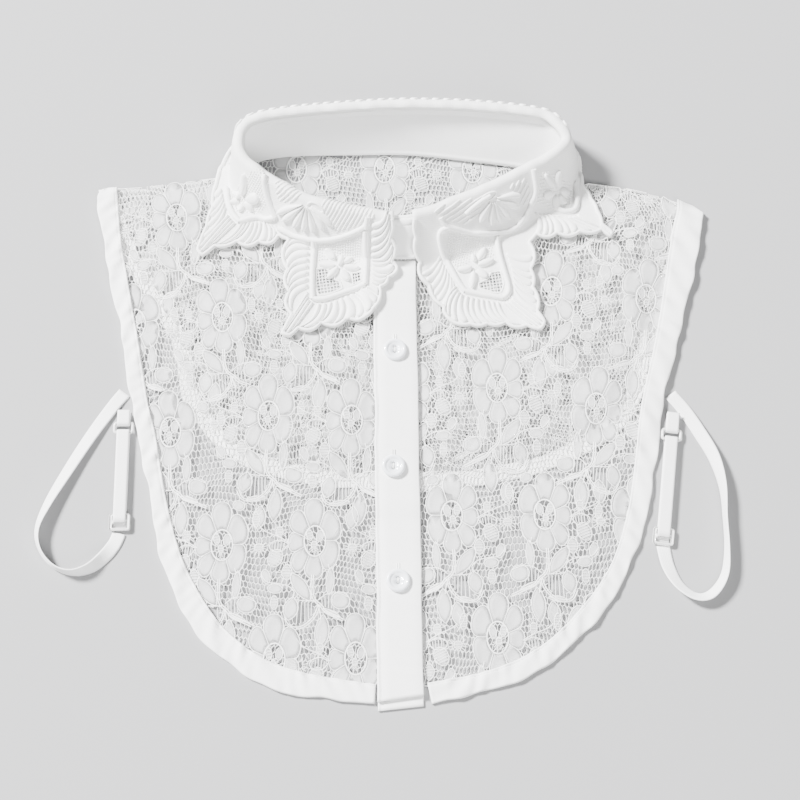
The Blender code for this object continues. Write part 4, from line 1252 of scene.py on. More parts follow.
LADDERS = (
    Ladder(plan(0.4, -32.2, 4.6, -31.8, 8.6, -31.6), plan(0.6, -38, 4, -41.8, 9.6, -43), 5),
    Ladder(plan(-10.2, -28.6, -6.4, -28.4, -3, -30.6),
           plan(-9.6, -34.8, -6.6, -34.8, -3.4, -33.4), 4),
    Ladder(plan(14.6, -1.6, 17.6, -0.4, 20.4, -0.8), plan(15, -3.6, 17.8, -4.8, 20.6, -3.8), 4),
)
STEMS = (
    Stem(plan(0.8, -17.8, 1, -25.6, -0.2, -30.6, -3.6, -33.8, -6, -37, -11.4, -39.6,
              -17.2, -42.4), 1, 1.25),
    Stem(plan(-2.2, -33.2, -3.4, -38.6, -3.6, -41), 0, 1.1),
    Stem(plan(-2.4, -33.2, -1.2, -37.6, 2, -42, 7, -45, 12.4, -44, 14.8, -39.4), 1, 1.1),
    Stem(plan(-1, -31.4, 4.4, -31.2, 9.6, -30.6)),
    Stem(plan(-17.4, -29.4, -12, -27.2, -6.4, -27.6, -2.4, -30.6)),
    Stem(plan(12.4, -1.4, 17.4, 1.8, 24.6, 5, 27.4, 7.4)),
    Stem(plan(13.2, -2, 16.6, -5.6, 21.4, -5, 22.4, -1.6, 17.6, 0.4, 13.2, -1.6)),
    Stem(plan(10.6, -30, 9.8, -26.4, 13.2, -23.4, 19, -22, 23.4, -21.4, 26.6, -17)),
    Stem(plan(-6.8, -12, -7.4, -14.6)),
)
SPRIG_SCALE = (0.975, 0.955)


@dataclass(frozen=True)
class Sprig:
    """One flower of the lace with the stems and leaves that hang from it, laid in the plan."""

    x: float
    y: float
    side: int = 1
    turn: float = 0.0

    @property
    def scale(self) -> tuple[float, float]:
        """Return how much its own frame is drawn in, and turned over on the left."""
        return SPRIG_SCALE[0] * self.side, SPRIG_SCALE[1]

    def laid(self, points: Array) -> Array:
        """Return the sprig's own points in the plan."""
        return turned(points * self.scale, self.turn) + (self.x, self.y)

    def back(self, points: Array) -> Array:
        """Return plan points in the sprig's own frame."""
        return turned(points - (self.x, self.y), -self.turn) / self.scale


@dataclass
class Lace:
    """One panel of lace: net, clothwork shapes and the threads that outline them."""

    name: str
    outline: Array
    sprigs: tuple[Sprig, ...]
    height: Heights
    seed: int
    cell: tuple[float, float, float] = (2.05, 2.5, 0.85)
    net_radius: float = 0.24
    cord_radius: float = 0.27
    puff: float = 0.0

    # How far a sprig and its flower reach, and how far another's shapes keep off the flower
    REACH = 66.0
    FLOWER = 20.0
    APART = 0.4
    NET_AT = 0.62
    PUFF_RUN = 14.0
    JITTER = (0.13, 0.06)
    WANDER = 1.7
    SPOKES = 2.3
    # Heights of a shape's shoulder, its middle and its underside
    DOME = (0.05, 0.07, -0.08)
    SHOULDER = 0.6
    OUTLINE_LIFT, STEM_LIFT, STITCH_LIFT = 0.06, 0.1, 0.24

    def __post_init__(self) -> None:
        """Measure the distance to the panel's edge over its plan."""
        ring = looped(self.outline)
        low, high = self.outline.min(0) - 4.0, self.outline.max(0) + 4.0
        self.edge = Grid.of(lambda p: nearest(p, ring)[0] * np.where(inside(p, ring), 1.0, -1.0),
                            tuple(low), tuple(high), 3.0)

    def lay(self, points: Array, lift: Array | float = 0.0) -> Array:
        """Return plan points on the panel, a lift above its net.

        Args:
            points: plan points.
            lift: one lift, or one for each.

        Returns:
            The points with their heights.
        """
        off = np.maximum(0.0, np.minimum(self.edge.at(points), HELD_DOWN.at(points)))
        puff = self.puff * smooth(off / self.PUFF_RUN)
        return with_height(points, self.height(points) + self.NET_AT * LACE + puff + lift)

    def kept(self, points: Array, spare: float = 0.0) -> Array:
        """Return which plan points lie on the panel or within a distance of it.

        Args:
            points: plan points.
            spare: the distance.

        Returns:
            True for each that is kept.
        """
        within = inside(points, self.outline)
        if spare:
            within |= nearest(points, looped(self.outline))[0] < spare
        return within

    def clear(self, points: Array, own: Sprig) -> Array:
        """Return which plan points lie off every other sprig's flower.

        Args:
            points: plan points.
            own: the sprig whose flower may cover them.

        Returns:
            True for each that is clear.
        """
        free = np.ones(len(points), bool)
        for sprig in self.sprigs:
            apart = math.hypot(sprig.x - own.x, sprig.y - own.y)
            if sprig is not own and apart < self.REACH + self.FLOWER:
                free &= BLOOM.outside(sprig.back(points)) > self.APART
        return free

    def held_in(self, points: Array) -> Array:
        """Return plan points with those off the panel moved back to its edge.

        Args:
            points: plan points.

        Returns:
            The points.
        """
        out = ~inside(points, self.outline)
        moved = points.copy()
        if out.any():
            ring = looped(self.outline)
            _, index, share = nearest(points[out], ring)
            moved[out] = ring[index] + (ring[index + 1] - ring[index]) * share[:, None]
        return moved

    def depth(self, points: Array) -> Array:
        """Return a measure that is below 0 where the panel has a solid shape or bars.

        Args:
            points: plan points.

        Returns:
            A measure for each.
        """
        measure = np.full(len(points), 9.0)
        for sprig in self.sprigs:
            near = np.flatnonzero(np.hypot(points[:, 0] - sprig.x, points[:, 1] - sprig.y)
                                  < self.REACH)
            if not len(near):
                continue
            own = sprig.back(points[near])
            lowest = np.minimum(measure[near], BLOOM.outside(own))
            for plate in PLATES:
                if self.clear(sprig.laid(plate.rim()), sprig).all():
                    lowest = np.minimum(lowest, plate.outside(own))
            for ladder in LADDERS:
                lowest = np.where(inside(own, ladder.outline()), -0.5, lowest)
            measure[near] = lowest
        return measure

    def cells(self, rng: np.random.Generator) -> tuple[Array, Array]:
        """Return the long hexagons of the whole net, a little uneven.

        Args:
            rng: gives the unevenness.

        Returns:
            The corners, and the edges as pairs of their indexes.
        """
        wide, upright, slant = self.cell
        pitch = upright + slant
        low, high = self.outline.min(0) - 2.0, self.outline.max(0) + 2.0
        columns = int((high[0] - low[0]) / wide) + 2
        rows = int((high[1] - low[1]) / pitch) + 2
        j, i = np.meshgrid(np.arange(rows), np.arange(columns), indexing="ij")
        foot = np.stack([low[0] + (i + 0.5 * (j % 2)) * wide, low[1] + j * pitch], axis=-1)
        head = foot + (0.0, upright)
        points = np.vstack([foot.reshape(-1, 2), head.reshape(-1, 2)])
        points += rng.normal(0.0, self.JITTER[0], points.shape)
        x, y = points.T
        points += self.WANDER * np.stack([np.sin(y / 7.1 + np.sin(x / 9.3)),
                                          np.sin(x / 8.2 + np.cos(y / 11.0))], axis=1)
        index = np.arange(rows * columns).reshape(rows, columns)
        edges = [np.stack([index, index + rows * columns], axis=-1).reshape(-1, 2)]
        for row in range(rows - 1):
            start = index[row] + rows * columns
            for step in ((-1, 0) if row % 2 == 0 else (0, 1)):
                ends = np.arange(columns) + step
                fits = (ends >= 0) & (ends < columns)
                edges.append(np.stack([start[fits], index[row + 1][ends[fits]]], axis=1))
        return points, np.vstack(edges)

    def cut(self, points: Array, edges: Array) -> tuple[Array, Array]:
        """Cut the net away off the panel and under its solid shapes.

        Args:
            points: the net's corners.
            edges: pairs of their indexes.

        Returns:
            The corners with the new ends after them, and the edges that are left.
        """
        kept = self.kept(points)
        edges = edges[kept[edges].all(1)]
        covered = self.depth(points) < 0.0
        part = covered[edges]
        whole = edges[~part.any(1)]
        crossing = edges[part.sum(1) == 1]
        crossing = np.where(covered[crossing[:, :1]], crossing[:, ::-1], crossing)
        free, hidden = points[crossing[:, 0]], points[crossing[:, 1]]
        near, far = np.zeros(len(crossing)), np.ones(len(crossing))
        for _ in range(6):
            middle = 0.5 * (near + far)
            solid = self.depth(free + (hidden - free) * middle[:, None]) < 0.0
            far = np.where(solid, middle, far)
            near = np.where(solid, near, middle)
        cut = free + (hidden - free) * far[:, None]
        ends = len(points) + np.arange(len(cut))
        return (np.vstack([points, cut]),
                np.vstack([whole, np.stack([crossing[:, 0], ends], axis=1)]))

    def net(self) -> Threads:
        """Return the net's threads, with the bars and spokes between them.

        Returns:
            The threads.
        """
        rng = np.random.default_rng(self.seed)
        threads = Threads()
        every, edges = self.cut(*self.cells(rng))
        used, edges = np.unique(edges, return_inverse=True)
        edges = edges.reshape(-1, 2)
        thick = rng.uniform(0.8, 1.2, len(used))
        lift = rng.normal(0.0, self.JITTER[1], len(used))
        threads.web(self.lay(every[used], lift), edges, thick)
        self.bars(threads)
        return threads

    def bars(self, threads: Threads) -> None:
        """Add the ladders' bars and the spokes of the stitched shapes.

        Args:
            threads: where they are added.
        """
        for sprig in self.sprigs:
            pairs = [ladder.ends() for ladder in LADDERS]
            for plate in PLATES:
                if plate.spokes:
                    rim = plate.rim(plate.spokes)
                    centre = np.array((plate.x, plate.y))
                    pairs.append((rim, centre + (rim - centre) * self.SPOKES))
            starts, ends = (sprig.laid(np.vstack(points)) for points in zip(*pairs))
            self._across(threads, starts, ends, 0.0, 0.95)

    def _across(self, threads: Threads, starts: Array, ends: Array, lift: float,
                thick: float) -> None:
        """Add a thread from each start to its end, where both lie on the panel.

        Args:
            threads: where they are added.
            starts: their starts.
            ends: their ends.
            lift: the lift above the net.
            thick: the thickness, as a share.
        """
        fits = self.kept(starts) & self.kept(ends)
        count = int(fits.sum())
        if count:
            edges = np.arange(2 * count).reshape(2, count).T
            threads.web(self.lay(np.vstack([starts[fits], ends[fits]]), lift), edges, thick)

    def clothwork(self) -> Faces:
        """Return the petals, leaves and bands as thin domed shapes.

        Returns:
            The shapes.
        """
        faces = Faces()
        rims = BLOOM.petals() + [plate.rim() for plate in PLATES]
        for sprig in self.sprigs:
            for rim in rims:
                rim = sprig.laid(rim)
                if not self.kept(rim.mean(0)[None], 2.0)[0] or not self.clear(rim, sprig).all():
                    continue
                rim = self.held_in(rim)
                centre = self.held_in(rim.mean(0)[None])
                if signed_area(rim - centre) < 0.0:
                    rim = rim[::-1]
                count = len(rim)
                shoulder = centre + (rim - centre) * self.SHOULDER
                high, highest, lowest = self.DOME
                top = self.lay(np.vstack([rim, shoulder, centre]),
                               np.concatenate([np.zeros(count), np.full(count, high), [highest]]))
                low = self.lay(centre, lowest)
                ring = np.arange(count)
                after = np.roll(ring, -1)
                sides = [(a, b, b + count, a + count) for a, b in zip(ring, after)]
                sides += [(a + count, b + count, 2 * count) for a, b in zip(ring, after)]
                sides += [(b, a, 2 * count + 1) for a, b in zip(ring, after)]
                faces.add(np.vstack([top, low]), sides)
        return faces

    def cordonnet(self) -> Threads:
        """Return the outline threads: round each shape, along the stems and over the stitching.

        Returns:
            The threads.
        """
        threads = Threads()
        loops = [(rim, 0.9) for rim in BLOOM.petals()] + [(BLOOM.rim(22), 1.2)]
        loops += [(plate.rim(), 0.9) for plate in PLATES]
        for sprig in self.sprigs:
            for rim, thick in loops:
                rim = sprig.laid(rim)
                if self.kept(rim).any() and self.clear(rim, sprig).all():
                    threads.line(self.lay(self.held_in(rim), self.OUTLINE_LIFT), thick, closed=True)
            for plate in PLATES:
                if plate.stitched and self.clear(sprig.laid(plate.rim()), sprig).all():
                    self._stitching(threads, sprig, plate)
            for stem in STEMS:
                for off in ((-0.5 * stem.gap, 0.5 * stem.gap) if stem.gap else (0.0,)):
                    line = Track(flow(stem.points, steps=6)).even(1.6)
                    line = sprig.laid(sideways(line, off))
                    free = self.clear(line, sprig)
                    line = line if free.all() else line[:free.argmin()]
                    if len(line) > 1 and self.kept(line).any():
                        threads.line(self.lay(self.held_in(line), self.STEM_LIFT), stem.thick)
        return threads

    def _stitching(self, threads: Threads, sprig: Sprig, plate: Plate) -> None:
        """Add the threads laid across a stitched shape.

        Args:
            threads: where they are added.
            sprig: the shape's sprig.
            plate: the shape.
        """
        count = max(3, round(1.5 * plate.half_length))
        levels = 2.0 * (np.arange(count) + 0.5) / count - 1.0
        half = plate.half_width * (1.0 - levels ** 2) ** plate.form.value
        starts, ends = (sprig.laid(plate.laid(
            np.stack([side * half, levels * plate.half_length], axis=1))) for side in (-1.0, 1.0))
        self._across(threads, starts, ends, self.STITCH_LIFT, 0.6)

    def make(self, node: str, rests_on: list[str]) -> None:
        """Make the panel's pieces and hide the CAD node that they stand for.

        Args:
            node: the CAD node that they stand for.
            rests_on: not used.
        """
        net = self.net().make(f"{self.name}_lace", self.net_radius, 3, NET, "lace")
        join(net, self.clothwork().make(f"{self.name}_clothwork", GAUZE, "lace"))
        cords = self.cordonnet()
        cords = cords.make(f"{self.name}_outlines", self.cord_radius, 4, CORDONNET, "lace")
        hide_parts(node)
        abs(signed_area(self.outline)) * MM * MM


# ---- the panels' plans

RIGHT_SPRIGS = (
    Sprig(25.3, -61.1), Sprig(70.6, -60.6), Sprig(46.7, -121.5), Sprig(48.4, 4.4),
    Sprig(97.4, -6, 1, -6), Sprig(124.9, 53.1, 1, -6), Sprig(0.6, -122), Sprig(93, -121),
    Sprig(116, -62), Sprig(2.4, 3), Sprig(26, 67), Sprig(77, 57, 1, -4), Sprig(102, 115, 1, -6),
    Sprig(148, 112, 1, -6), Sprig(144, -4), Sprig(55, 122),
)
LEFT_SPRIGS = (
    Sprig(-86.3, -76, -1), Sprig(-41.2, -74, -1), Sprig(-59.8, -132, -1), Sprig(-20.9, -131.5, -1),
    Sprig(-65, -10.4, -1), Sprig(-23.8, -12.5, -1), Sprig(-113.8, -17.8, -1, 4),
    Sprig(-89.4, 42, -1, 6), Sprig(-114.9, 98, -1, 6), Sprig(-131.5, -76, -1), Sprig(4, -74, -1),
    Sprig(-105, -132, -1), Sprig(-134, 40.5, -1, 6), Sprig(-44, 46, -1), Sprig(0, 46, -1),
    Sprig(-70, 102, -1), Sprig(-158, 97, -1, 6), Sprig(-26, 104, -1),
)


def lattice(middle: float, top: float, rows: int, columns: int) -> tuple[Sprig, ...]:
    """Return sprigs in even half-dropped rows, for the back.

    Args:
        middle: x of the middle sprig.
        top: y of the highest row.
        rows: the number of rows.
        columns: the sprigs on each side of the middle.

    Returns:
        The sprigs.
    """
    made = []
    for row in range(rows):
        for column in range(-columns, columns + 1):
            x = middle + (column + 0.5 * (row % 2)) * 46.0
            made.append(Sprig(x, top - 61.0 * row, 1))
    return tuple(made)


def on_surface(points: Array) -> Array:
    """Return the height of plan points on the surface that the collar lies on."""
    return np.zeros(len(points))


@dataclass
class Front:
    """One front of the collar: its lace and the folded band round its outer edge."""

    side: int
    edge: Array
    shoulder: Array
    sprigs: tuple[Sprig, ...]
    off_centre: float
    tuck: float = 1.6

    @property
    def word(self) -> str:
        """Return left or right."""
        return "left" if self.side > 0 else "right"

    def rails(self, spacing: float = 1.1) -> tuple[Array, Array]:
        """Return the band's outer and inner edge, from the shoulder to the centre.

        Args:
            spacing: the points' spacing.

        Returns:
            The outer and the inner edge.
        """
        outer = Track(flow(self.edge)).even(spacing)
        rails = LIE.trimmed(outer), LIE.trimmed(sideways(outer, self.side * outer[:, 2]))
        for rail in rails:
            rail[:1, 1] = LIE.shoulder(rail[:1]) - GAP
        return rails

    def outline(self) -> Array:
        """Return the lace's own outline, tucked under the band and the placket.

        Returns:
            The outline.
        """
        outer = Track(flow(self.edge)).even(4.0)
        lace = LIE.trimmed(sideways(outer, self.side * (outer[:, 2] - self.tuck)))
        seam = LIE.seam[::2]
        neck = seam[(seam[:, 0] * self.side < 0) & (LIE.shoulder_depth(seam) > GAP)]
        neck = neck[np.argsort(self.side * neck[:, 0])]
        neck = neck[abs(neck[:, 0] - placket_middle(neck[:, 1])) > 9.5]
        ys = np.linspace(neck[-1, 1] - 1.0, lace[-1, 1] + 1.0, 12)
        centre = np.stack([placket_middle(ys) - self.side * self.off_centre, ys], axis=1)
        rows = self.shoulder - (0.0, GAP)
        rows = rows[np.argsort(-self.side * rows[:, 0])]
        rows = rows[(self.side * (neck[0, 0] - rows[:, 0]) > 2.0)
                    & (self.side * (rows[:, 0] - lace[0, 0]) > 3.0)]
        return np.vstack([lace, centre[::-1], neck[::-1], rows])

    def make(self) -> None:
        """Make the front's lace and band."""
        name = f"front_{self.word}"
        Lace(name, self.outline(), self.sprigs, LIE.front, SEED + self.side, puff=2.4).make(
            f"{name}_panel", ["back_panel"])
        outer, inner = self.rails()
        band = Band(f"{name}_binding", outer, inner, LIE.front, FRONT_BAND, SEED + 5 * self.side,
                    pucker=1.45, corner=5.5)
        band.make("cotton", f"{name}_binding")


@dataclass
class Back:
    """The shorter back: its lace and the narrow band round its sides and hem."""

    tuck: float = 1.4

    def make(self) -> None:
        """Make the back's lace and band."""
        edge = Track(flow(BACK_EDGE))
        lace = LIE.trimmed(sideways(edge.even(4.0), BACK_BAND_WIDTH - self.tuck))
        seam = LIE.seam[::2]
        neck = seam[LIE.shoulder_depth(seam) < 0.0]
        neck = neck[np.argsort(-neck[:, 0])] + (0.0, 1.0)
        right = RIGHT_SHOULDER[::-1] - (0.0, GAP)
        right = right[(right[:, 0] > neck[0, 0] + 1.0) & (right[:, 0] < lace[-1, 0] - 3.0)]
        left = LEFT_SHOULDER[::-1] - (0.0, GAP)
        left = left[(left[:, 0] > lace[0, 0] + 3.0) & (left[:, 0] < neck[-1, 0] - 1.0)]
        Lace("back", np.vstack([lace, right, neck, left]), lattice(-8.0, 128.0, 4, 4), on_surface,
             SEED).make("back_panel", [])
        rail = edge.even(1.2)
        Band("back_binding", LIE.trimmed(rail), LIE.trimmed(sideways(rail, BACK_BAND_WIDTH)),
             on_surface, BACK_BAND, SEED + 3).make("cotton", "back_binding")


# ---- cotton bands

class Profile(Enum):
    """Cross-sections of cotton bands, from one edge to the other.

    Columns: share of the width, further distance and height, both as shares of the thickness.
    """

    BAND = ((0.0, 0.10, 0.0), (0.0, 0.02, 0.12), (0.0, 0.0, 0.42), (0.0, 0.03, 0.75),
            (0.0, 0.14, 0.93), (0.0, 0.45, 1.0), (0.22, 0.0, 1.0), (0.42, 0.0, 1.0),
            (0.62, 0.0, 1.0), (0.8, 0.0, 1.0), (1.0, -0.85, 0.97), (1.0, -0.62, 0.78),
            (1.0, -0.42, 0.93), (1.0, -0.05, 0.84), (1.0, 0.0, 0.08))
    PLACKET = ((0.0, 0.10, 0.0), (0.0, 0.02, 0.2), (0.0, 0.0, 0.5), (0.0, 0.05, 0.85),
               (0.0, 0.3, 1.02), (0.0, 0.8, 1.02), (0.0, 1.12, 0.76), (0.0, 1.5, 0.98),
               (0.3, 0.0, 0.98), (0.45, 0.0, 0.98), (0.6, 0.0, 0.98), (0.8, 0.0, 0.98),
               (1.0, -0.4, 0.98), (1.0, -0.06, 0.86), (1.0, 0.0, 0.5), (1.0, -0.02, 0.2),
               (1.0, -0.1, 0.0))


@dataclass
class Band:
    """A folded cotton band between two rails, puckered by its sewing."""

    name: str
    outer: Array
    inner: Array
    base: Heights
    thick: float
    seed: int
    profile: Profile = Profile.BAND
    pucker: float = 0.9
    seam: tuple[bool, float] = (True, 0.62)
    corner: float = 0.0

    STITCH = Stitch(1.7, 0.55, 0.14)
    STITCH_LIFT = 0.84
    WAVES = ((31.0, 0.7), (17.0, 0.7), (9.5, 0.6), (6.1, 0.35))

    def waves(self, along: Array, share: Array) -> Array:
        """Return how the band's upper face puckers.

        Args:
            along: distances along the band.
            share: shares of the way from its outer to its inner edge.

        Returns:
            The rise at each place.
        """
        rng = np.random.default_rng(abs(self.seed))
        rise = np.zeros(np.broadcast(along, share).shape)
        for wave, weight in self.WAVES:
            phase, skew = rng.uniform(0.0, 6.0), rng.uniform(0.5, 1.1) * wave
            swing = np.sin(along / (1.9 * wave) + rng.uniform(0.0, 6.0))
            rise += weight * np.sin(2.0 * math.pi * (along + skew * share) / wave + phase) * swing
        return self.pucker * (0.45 + 0.55 * np.clip(rise, -1.0, 1.4)) * (0.55 + 0.45 * share)

    def rings(self) -> Array:
        """Return the points of each cross-section along the band.

        Returns:
            The points, by cross-section.
        """
        along = Track(0.5 * (self.outer + self.inner)).run[:, None]
        across = self.inner - self.outer
        width = np.hypot(*across.T)[:, None]
        table = np.array(self.profile.value)
        shares = table[:, 0] + table[:, 1] * self.thick / width
        rise = np.maximum(0.0, self.waves(along, shares)) * smooth(table[:, 2] / 0.8)
        heights = table[:, 2] * self.thick + rise
        wander = (np.sin(along / 7.3 + self.seed) + 0.7 * np.sin(along / 3.7 + 2.0 * self.seed)
                  + 0.4 * np.sin(along / 2.3)) * smooth(along / 9.0)
        if self.corner:
            short = np.maximum(0.0, self.corner - along)
            drawn = self.corner - np.sqrt(self.corner ** 2 - short ** 2)
            shares = shares + drawn / width * np.maximum(0.0, 1.0 - table[:, 0] / 0.62)
            heights = heights - 0.45 * (short / self.corner) ** 2 * self.thick * (table[:, 2] > 0.5)
        shares = shares + 0.3 * self.pucker * wander / width * (table[:, 0] < 0.1)
        places = self.outer[:, None, :] + across[:, None, :] * shares[..., None]
        base = self.base(places.reshape(-1, 2)).reshape(heights.shape)
        return np.dstack([places, (base + heights)[..., None]])

    def make(self, slot: str, node: str) -> bpy.types.Object:
        """Make the band and its stitches.

        Args:
            slot: not used.
            node: the CAD node that it replaces.

        Returns:
            The band.
        """
        rings = self.rings()
        count, around = rings.shape[:2]
        index = np.arange(count * around).reshape(count, around)
        faces = []
        for k in range(around):
            a, b = index[:, k], index[:, (k + 1) % around]
            faces += list(zip(a[:-1], a[1:], b[1:], b[:-1]))
        faces += [tuple(index[0]), tuple(index[-1][::-1])]
        middle = around // 2
        way = np.cross(rings[1, middle] - rings[0, middle], rings[0, middle + 1] - rings[0, middle])
        if way[2] < 0.0:
            faces = [face[::-1] for face in faces]
        made = Faces()
        made.add(rings.reshape(-1, 3), [tuple(int(k) for k in face) for face in faces])
        piece = made.make(f"{self.name}_cloth", POPLIN, slot, (node,))
        from_inner, away = self.seam
        width = np.hypot(*(self.inner - self.outer).T)[:, None]
        start, end = (self.inner, self.outer) if from_inner else (self.outer, self.inner)
        line = start + (end - start) * (away * self.thick / width)
        stitches = Threads()
        along = Track(0.5 * (self.outer + self.inner)).run
        share = away * self.thick / width[:, 0]
        rise = np.maximum(0.0, self.waves(along, 1.0 - share if from_inner else share))
        height = self.base(line) + self.STITCH_LIFT * self.thick + rise
        stitches.line(with_height(line, height)[2:-2])
        stitches.stitch(f"{self.name}_stitches", self.STITCH)
        return piece


@dataclass
class Placket:
    """The button placket and the other front's placket under it."""

    half: float = PLACKET_HALF
    under_half: float = 8.6
    flare: float = 2.3
    flare_y: float = -145.0

    ENDS = (72.6, -152.4, -149.2)
    UNDER_ENDS = (72.0, -156.4, -154.0)
    SEAM = (False, 1.12)
    HOLE = (5.2, 8.6)
    HOLE_SIDES = (-0.55, 0.55)

    def rails(self, ends: tuple[float, float, float], half: Heights) -> tuple[Array, Array]:
        """Return the two rails of a layer.

        Args:
            ends: y of the top, of the left and of the right lower corner.
            half: gives half the width at each y.

        Returns:
            The left and the right rail, from the hem up.
        """
        top, left, right = ends
        rails = []
        for low, side in ((left, -1.0), (right, 1.0)):
            y = np.linspace(low, top, 150)
            wander = 0.12 * np.sin(y / 13.0 + side) + 0.07 * np.sin(y / 5.1)
            rails.append(np.stack([placket_middle(y) + side * (half(y) + wander), y], axis=1))
        return rails[0], rails[1]

    def make(self) -> None:
        """Make both layers and the buttonholes."""
        lift = UNDER_PLACKET + GAP
        left, right = self.rails(self.ENDS, lambda y: self.half - 0.2)
        Band("placket", left, right, lambda p: LIE.placket(p[:, 1]) + lift, PLACKET, SEED + 21,
             Profile.PLACKET, 0.4, self.SEAM).make("cotton", "placket")
        left, right = self.rails(self.UNDER_ENDS, lambda y: self.under_half - 0.2
                                 + self.flare * smooth((self.flare_y - y) / 3.0))
        Band("under_placket", left, right, lambda p: LIE.placket(p[:, 1]), UNDER_PLACKET, SEED + 22,
             Profile.PLACKET, 0.1, self.SEAM).make("cotton", "under_placket")
        bars = Threads()
        for x, y in BUTTONS.values():
            for off in self.HOLE_SIDES:
                ys = np.linspace(y + self.HOLE[0], y + self.HOLE[1], 5)
                line = np.stack([np.full(5, x + off), ys], axis=1)
                bars.line(with_height(line, LIE.placket(ys) + PLACKET_STACK + 0.06))
        bars.make("buttonholes", 0.42, 6, SATIN, "cotton")


def slab(rows: Array, thick: Array | float) -> tuple[Array, list[tuple[int, ...]]]:
    """Return the points and faces of a closed sheet about a grid of middle points.

    Args:
        rows: the grid of points.
        thick: the thickness, for all or for each point.

    Returns:
        The points and the faces.
    """
    normal = np.cross(np.gradient(rows, axis=0), np.gradient(rows, axis=1))
    normal /= np.maximum(1e-9, np.linalg.norm(normal, axis=2))[..., None]
    off = 0.5 * np.broadcast_to(thick, rows.shape[:2])[..., None] * normal
    count = rows.shape[0] * rows.shape[1]
    index = np.arange(count).reshape(rows.shape[:2])
    quads = np.stack([index[:-1, :-1], index[1:, :-1], index[1:, 1:], index[:-1, 1:]], axis=-1)
    quads = quads.reshape(-1, 4)
    rim = np.concatenate([index[:-1, 0], index[-1, :-1], index[:0:-1, -1], index[0, :0:-1]])
    after = np.roll(rim, -1)
    sides = np.stack([after, rim, rim + count, after + count], axis=1)
    faces = np.vstack([quads, quads[:, ::-1] + count, sides])
    points = np.vstack([(rows + off).reshape(-1, 3), (rows - off).reshape(-1, 3)])
    return points, [tuple(face) for face in faces.tolist()]


@dataclass
class Stand:
    """The plain collar stand, which leans back round the neck, its ends lapped in front."""

    top: float = FOLD_Z - 2.9
    lap: float = 13.0
    lap_step: float = 1.9
    lap_ramp: float = 15.0
    thick: float = 1.15
    groove: float = 0.84

    STITCH = Stitch(1.6, 0.6, 0.13)
    STITCH_LIFT = 0.48
    LEVELS = np.array((0.0, 0.012, 0.03, 0.05, 0.07, 0.09, 0.115, 0.2, 0.35, 0.5, 0.65, 0.76,
                       0.8, 0.82, 0.835, 0.85, 0.87, 0.9, 0.95, 1.0))

    def rows(self, levels: Array, sections: int = 300) -> Array:
        """Return the grid of the stand's middle, at levels from its seam up.

        Args:
            levels: shares of the way from the seam to the fold.
            sections: how many places round the neck.

        Returns:
            The points, by place and level.
        """
        whole = LIE.ring.length
        along = np.linspace(-self.lap, whole + self.lap, sections)
        section = LIE.ring.at(along % whole)
        way = LIE.ring.at((along + 3.0) % whole)[:, :2] - LIE.ring.at((along - 3.0) % whole)[:, :2]
        step = -self.lap_step * smooth((along - whole + self.lap + self.lap_ramp) / self.lap_ramp)
        out = left_of(unit(way))
        foot = LACE + LIE.STAND_LIFT + LIE.cover(section[:, 2:4]) * (
            LIE.top_of_fronts(section[:, 2:4]) - LACE)
        rows = []
        for share in levels:
            wave = 0.22 * math.sin(math.pi * share) * np.sin(along / 9.0 + 2.0 * share)
            place = section[:, 2:4] + (section[:, :2] - section[:, 2:4]) * share
            place = place + out * (step + wave)[:, None]
            rows.append(with_height(place, foot + (self.top - foot) * share))
        return np.stack(rows, axis=1)

    def make(self) -> None:
        """Make the stand and its stitches."""
        levels = self.LEVELS
        thick = 1.0 - 0.4 * np.exp(-((levels - self.groove) / 0.014) ** 2)
        thick += 0.75 * np.exp(-((levels - 0.05) / 0.026) ** 2)
        thick += 0.3 * smooth((levels - self.groove) / 0.03)
        thick *= self.thick * np.where((levels == 0) | (levels == 1), 0.5, 1)
        rows = self.rows(levels)
        made = Faces()
        made.add(*slab(rows, np.broadcast_to(thick, rows.shape[:2])))
        made.make("collar_stand_cloth", POPLIN, "cotton", ("collar_stand",))
        near = self.rows(np.array((self.groove - 0.04, self.groove, self.groove + 0.04)))
        normal = np.cross(np.gradient(near, axis=0), np.gradient(near, axis=1))[:, 1]
        normal /= np.linalg.norm(normal, axis=1)[:, None]
        stitches = Threads()
        stitches.line((near[:, 1] + self.STITCH_LIFT * normal)[3:-3])
        stitches.stitch("collar_stand_stitches", self.STITCH)


# ---- the embroidered leaf

@dataclass(frozen=True)
class Ribs:
    """A family of flat satin ribs that spread from an inner line to the lobed edge."""

    inner: Array
    first: float
    last: float
    count: int
    bow: float = 0.0
    high: float = 1.25
    outer: Array | None = None


@dataclass(frozen=True)
class Motif:
    """One corded square of the leaf, the petals in it and the ribs round it."""

    cords: tuple[Array, ...]
    flower: tuple[float, float]
    petals: tuple[tuple[float, float, float, float], ...]
    ribs: tuple[Ribs, ...]


@dataclass(frozen=True)
class Fan:
    """The teardrop rays over a bowl cord."""

    eye: tuple[float, float]
    ring: tuple[float, float, float]
    ends: Array
    half: float = 1.5


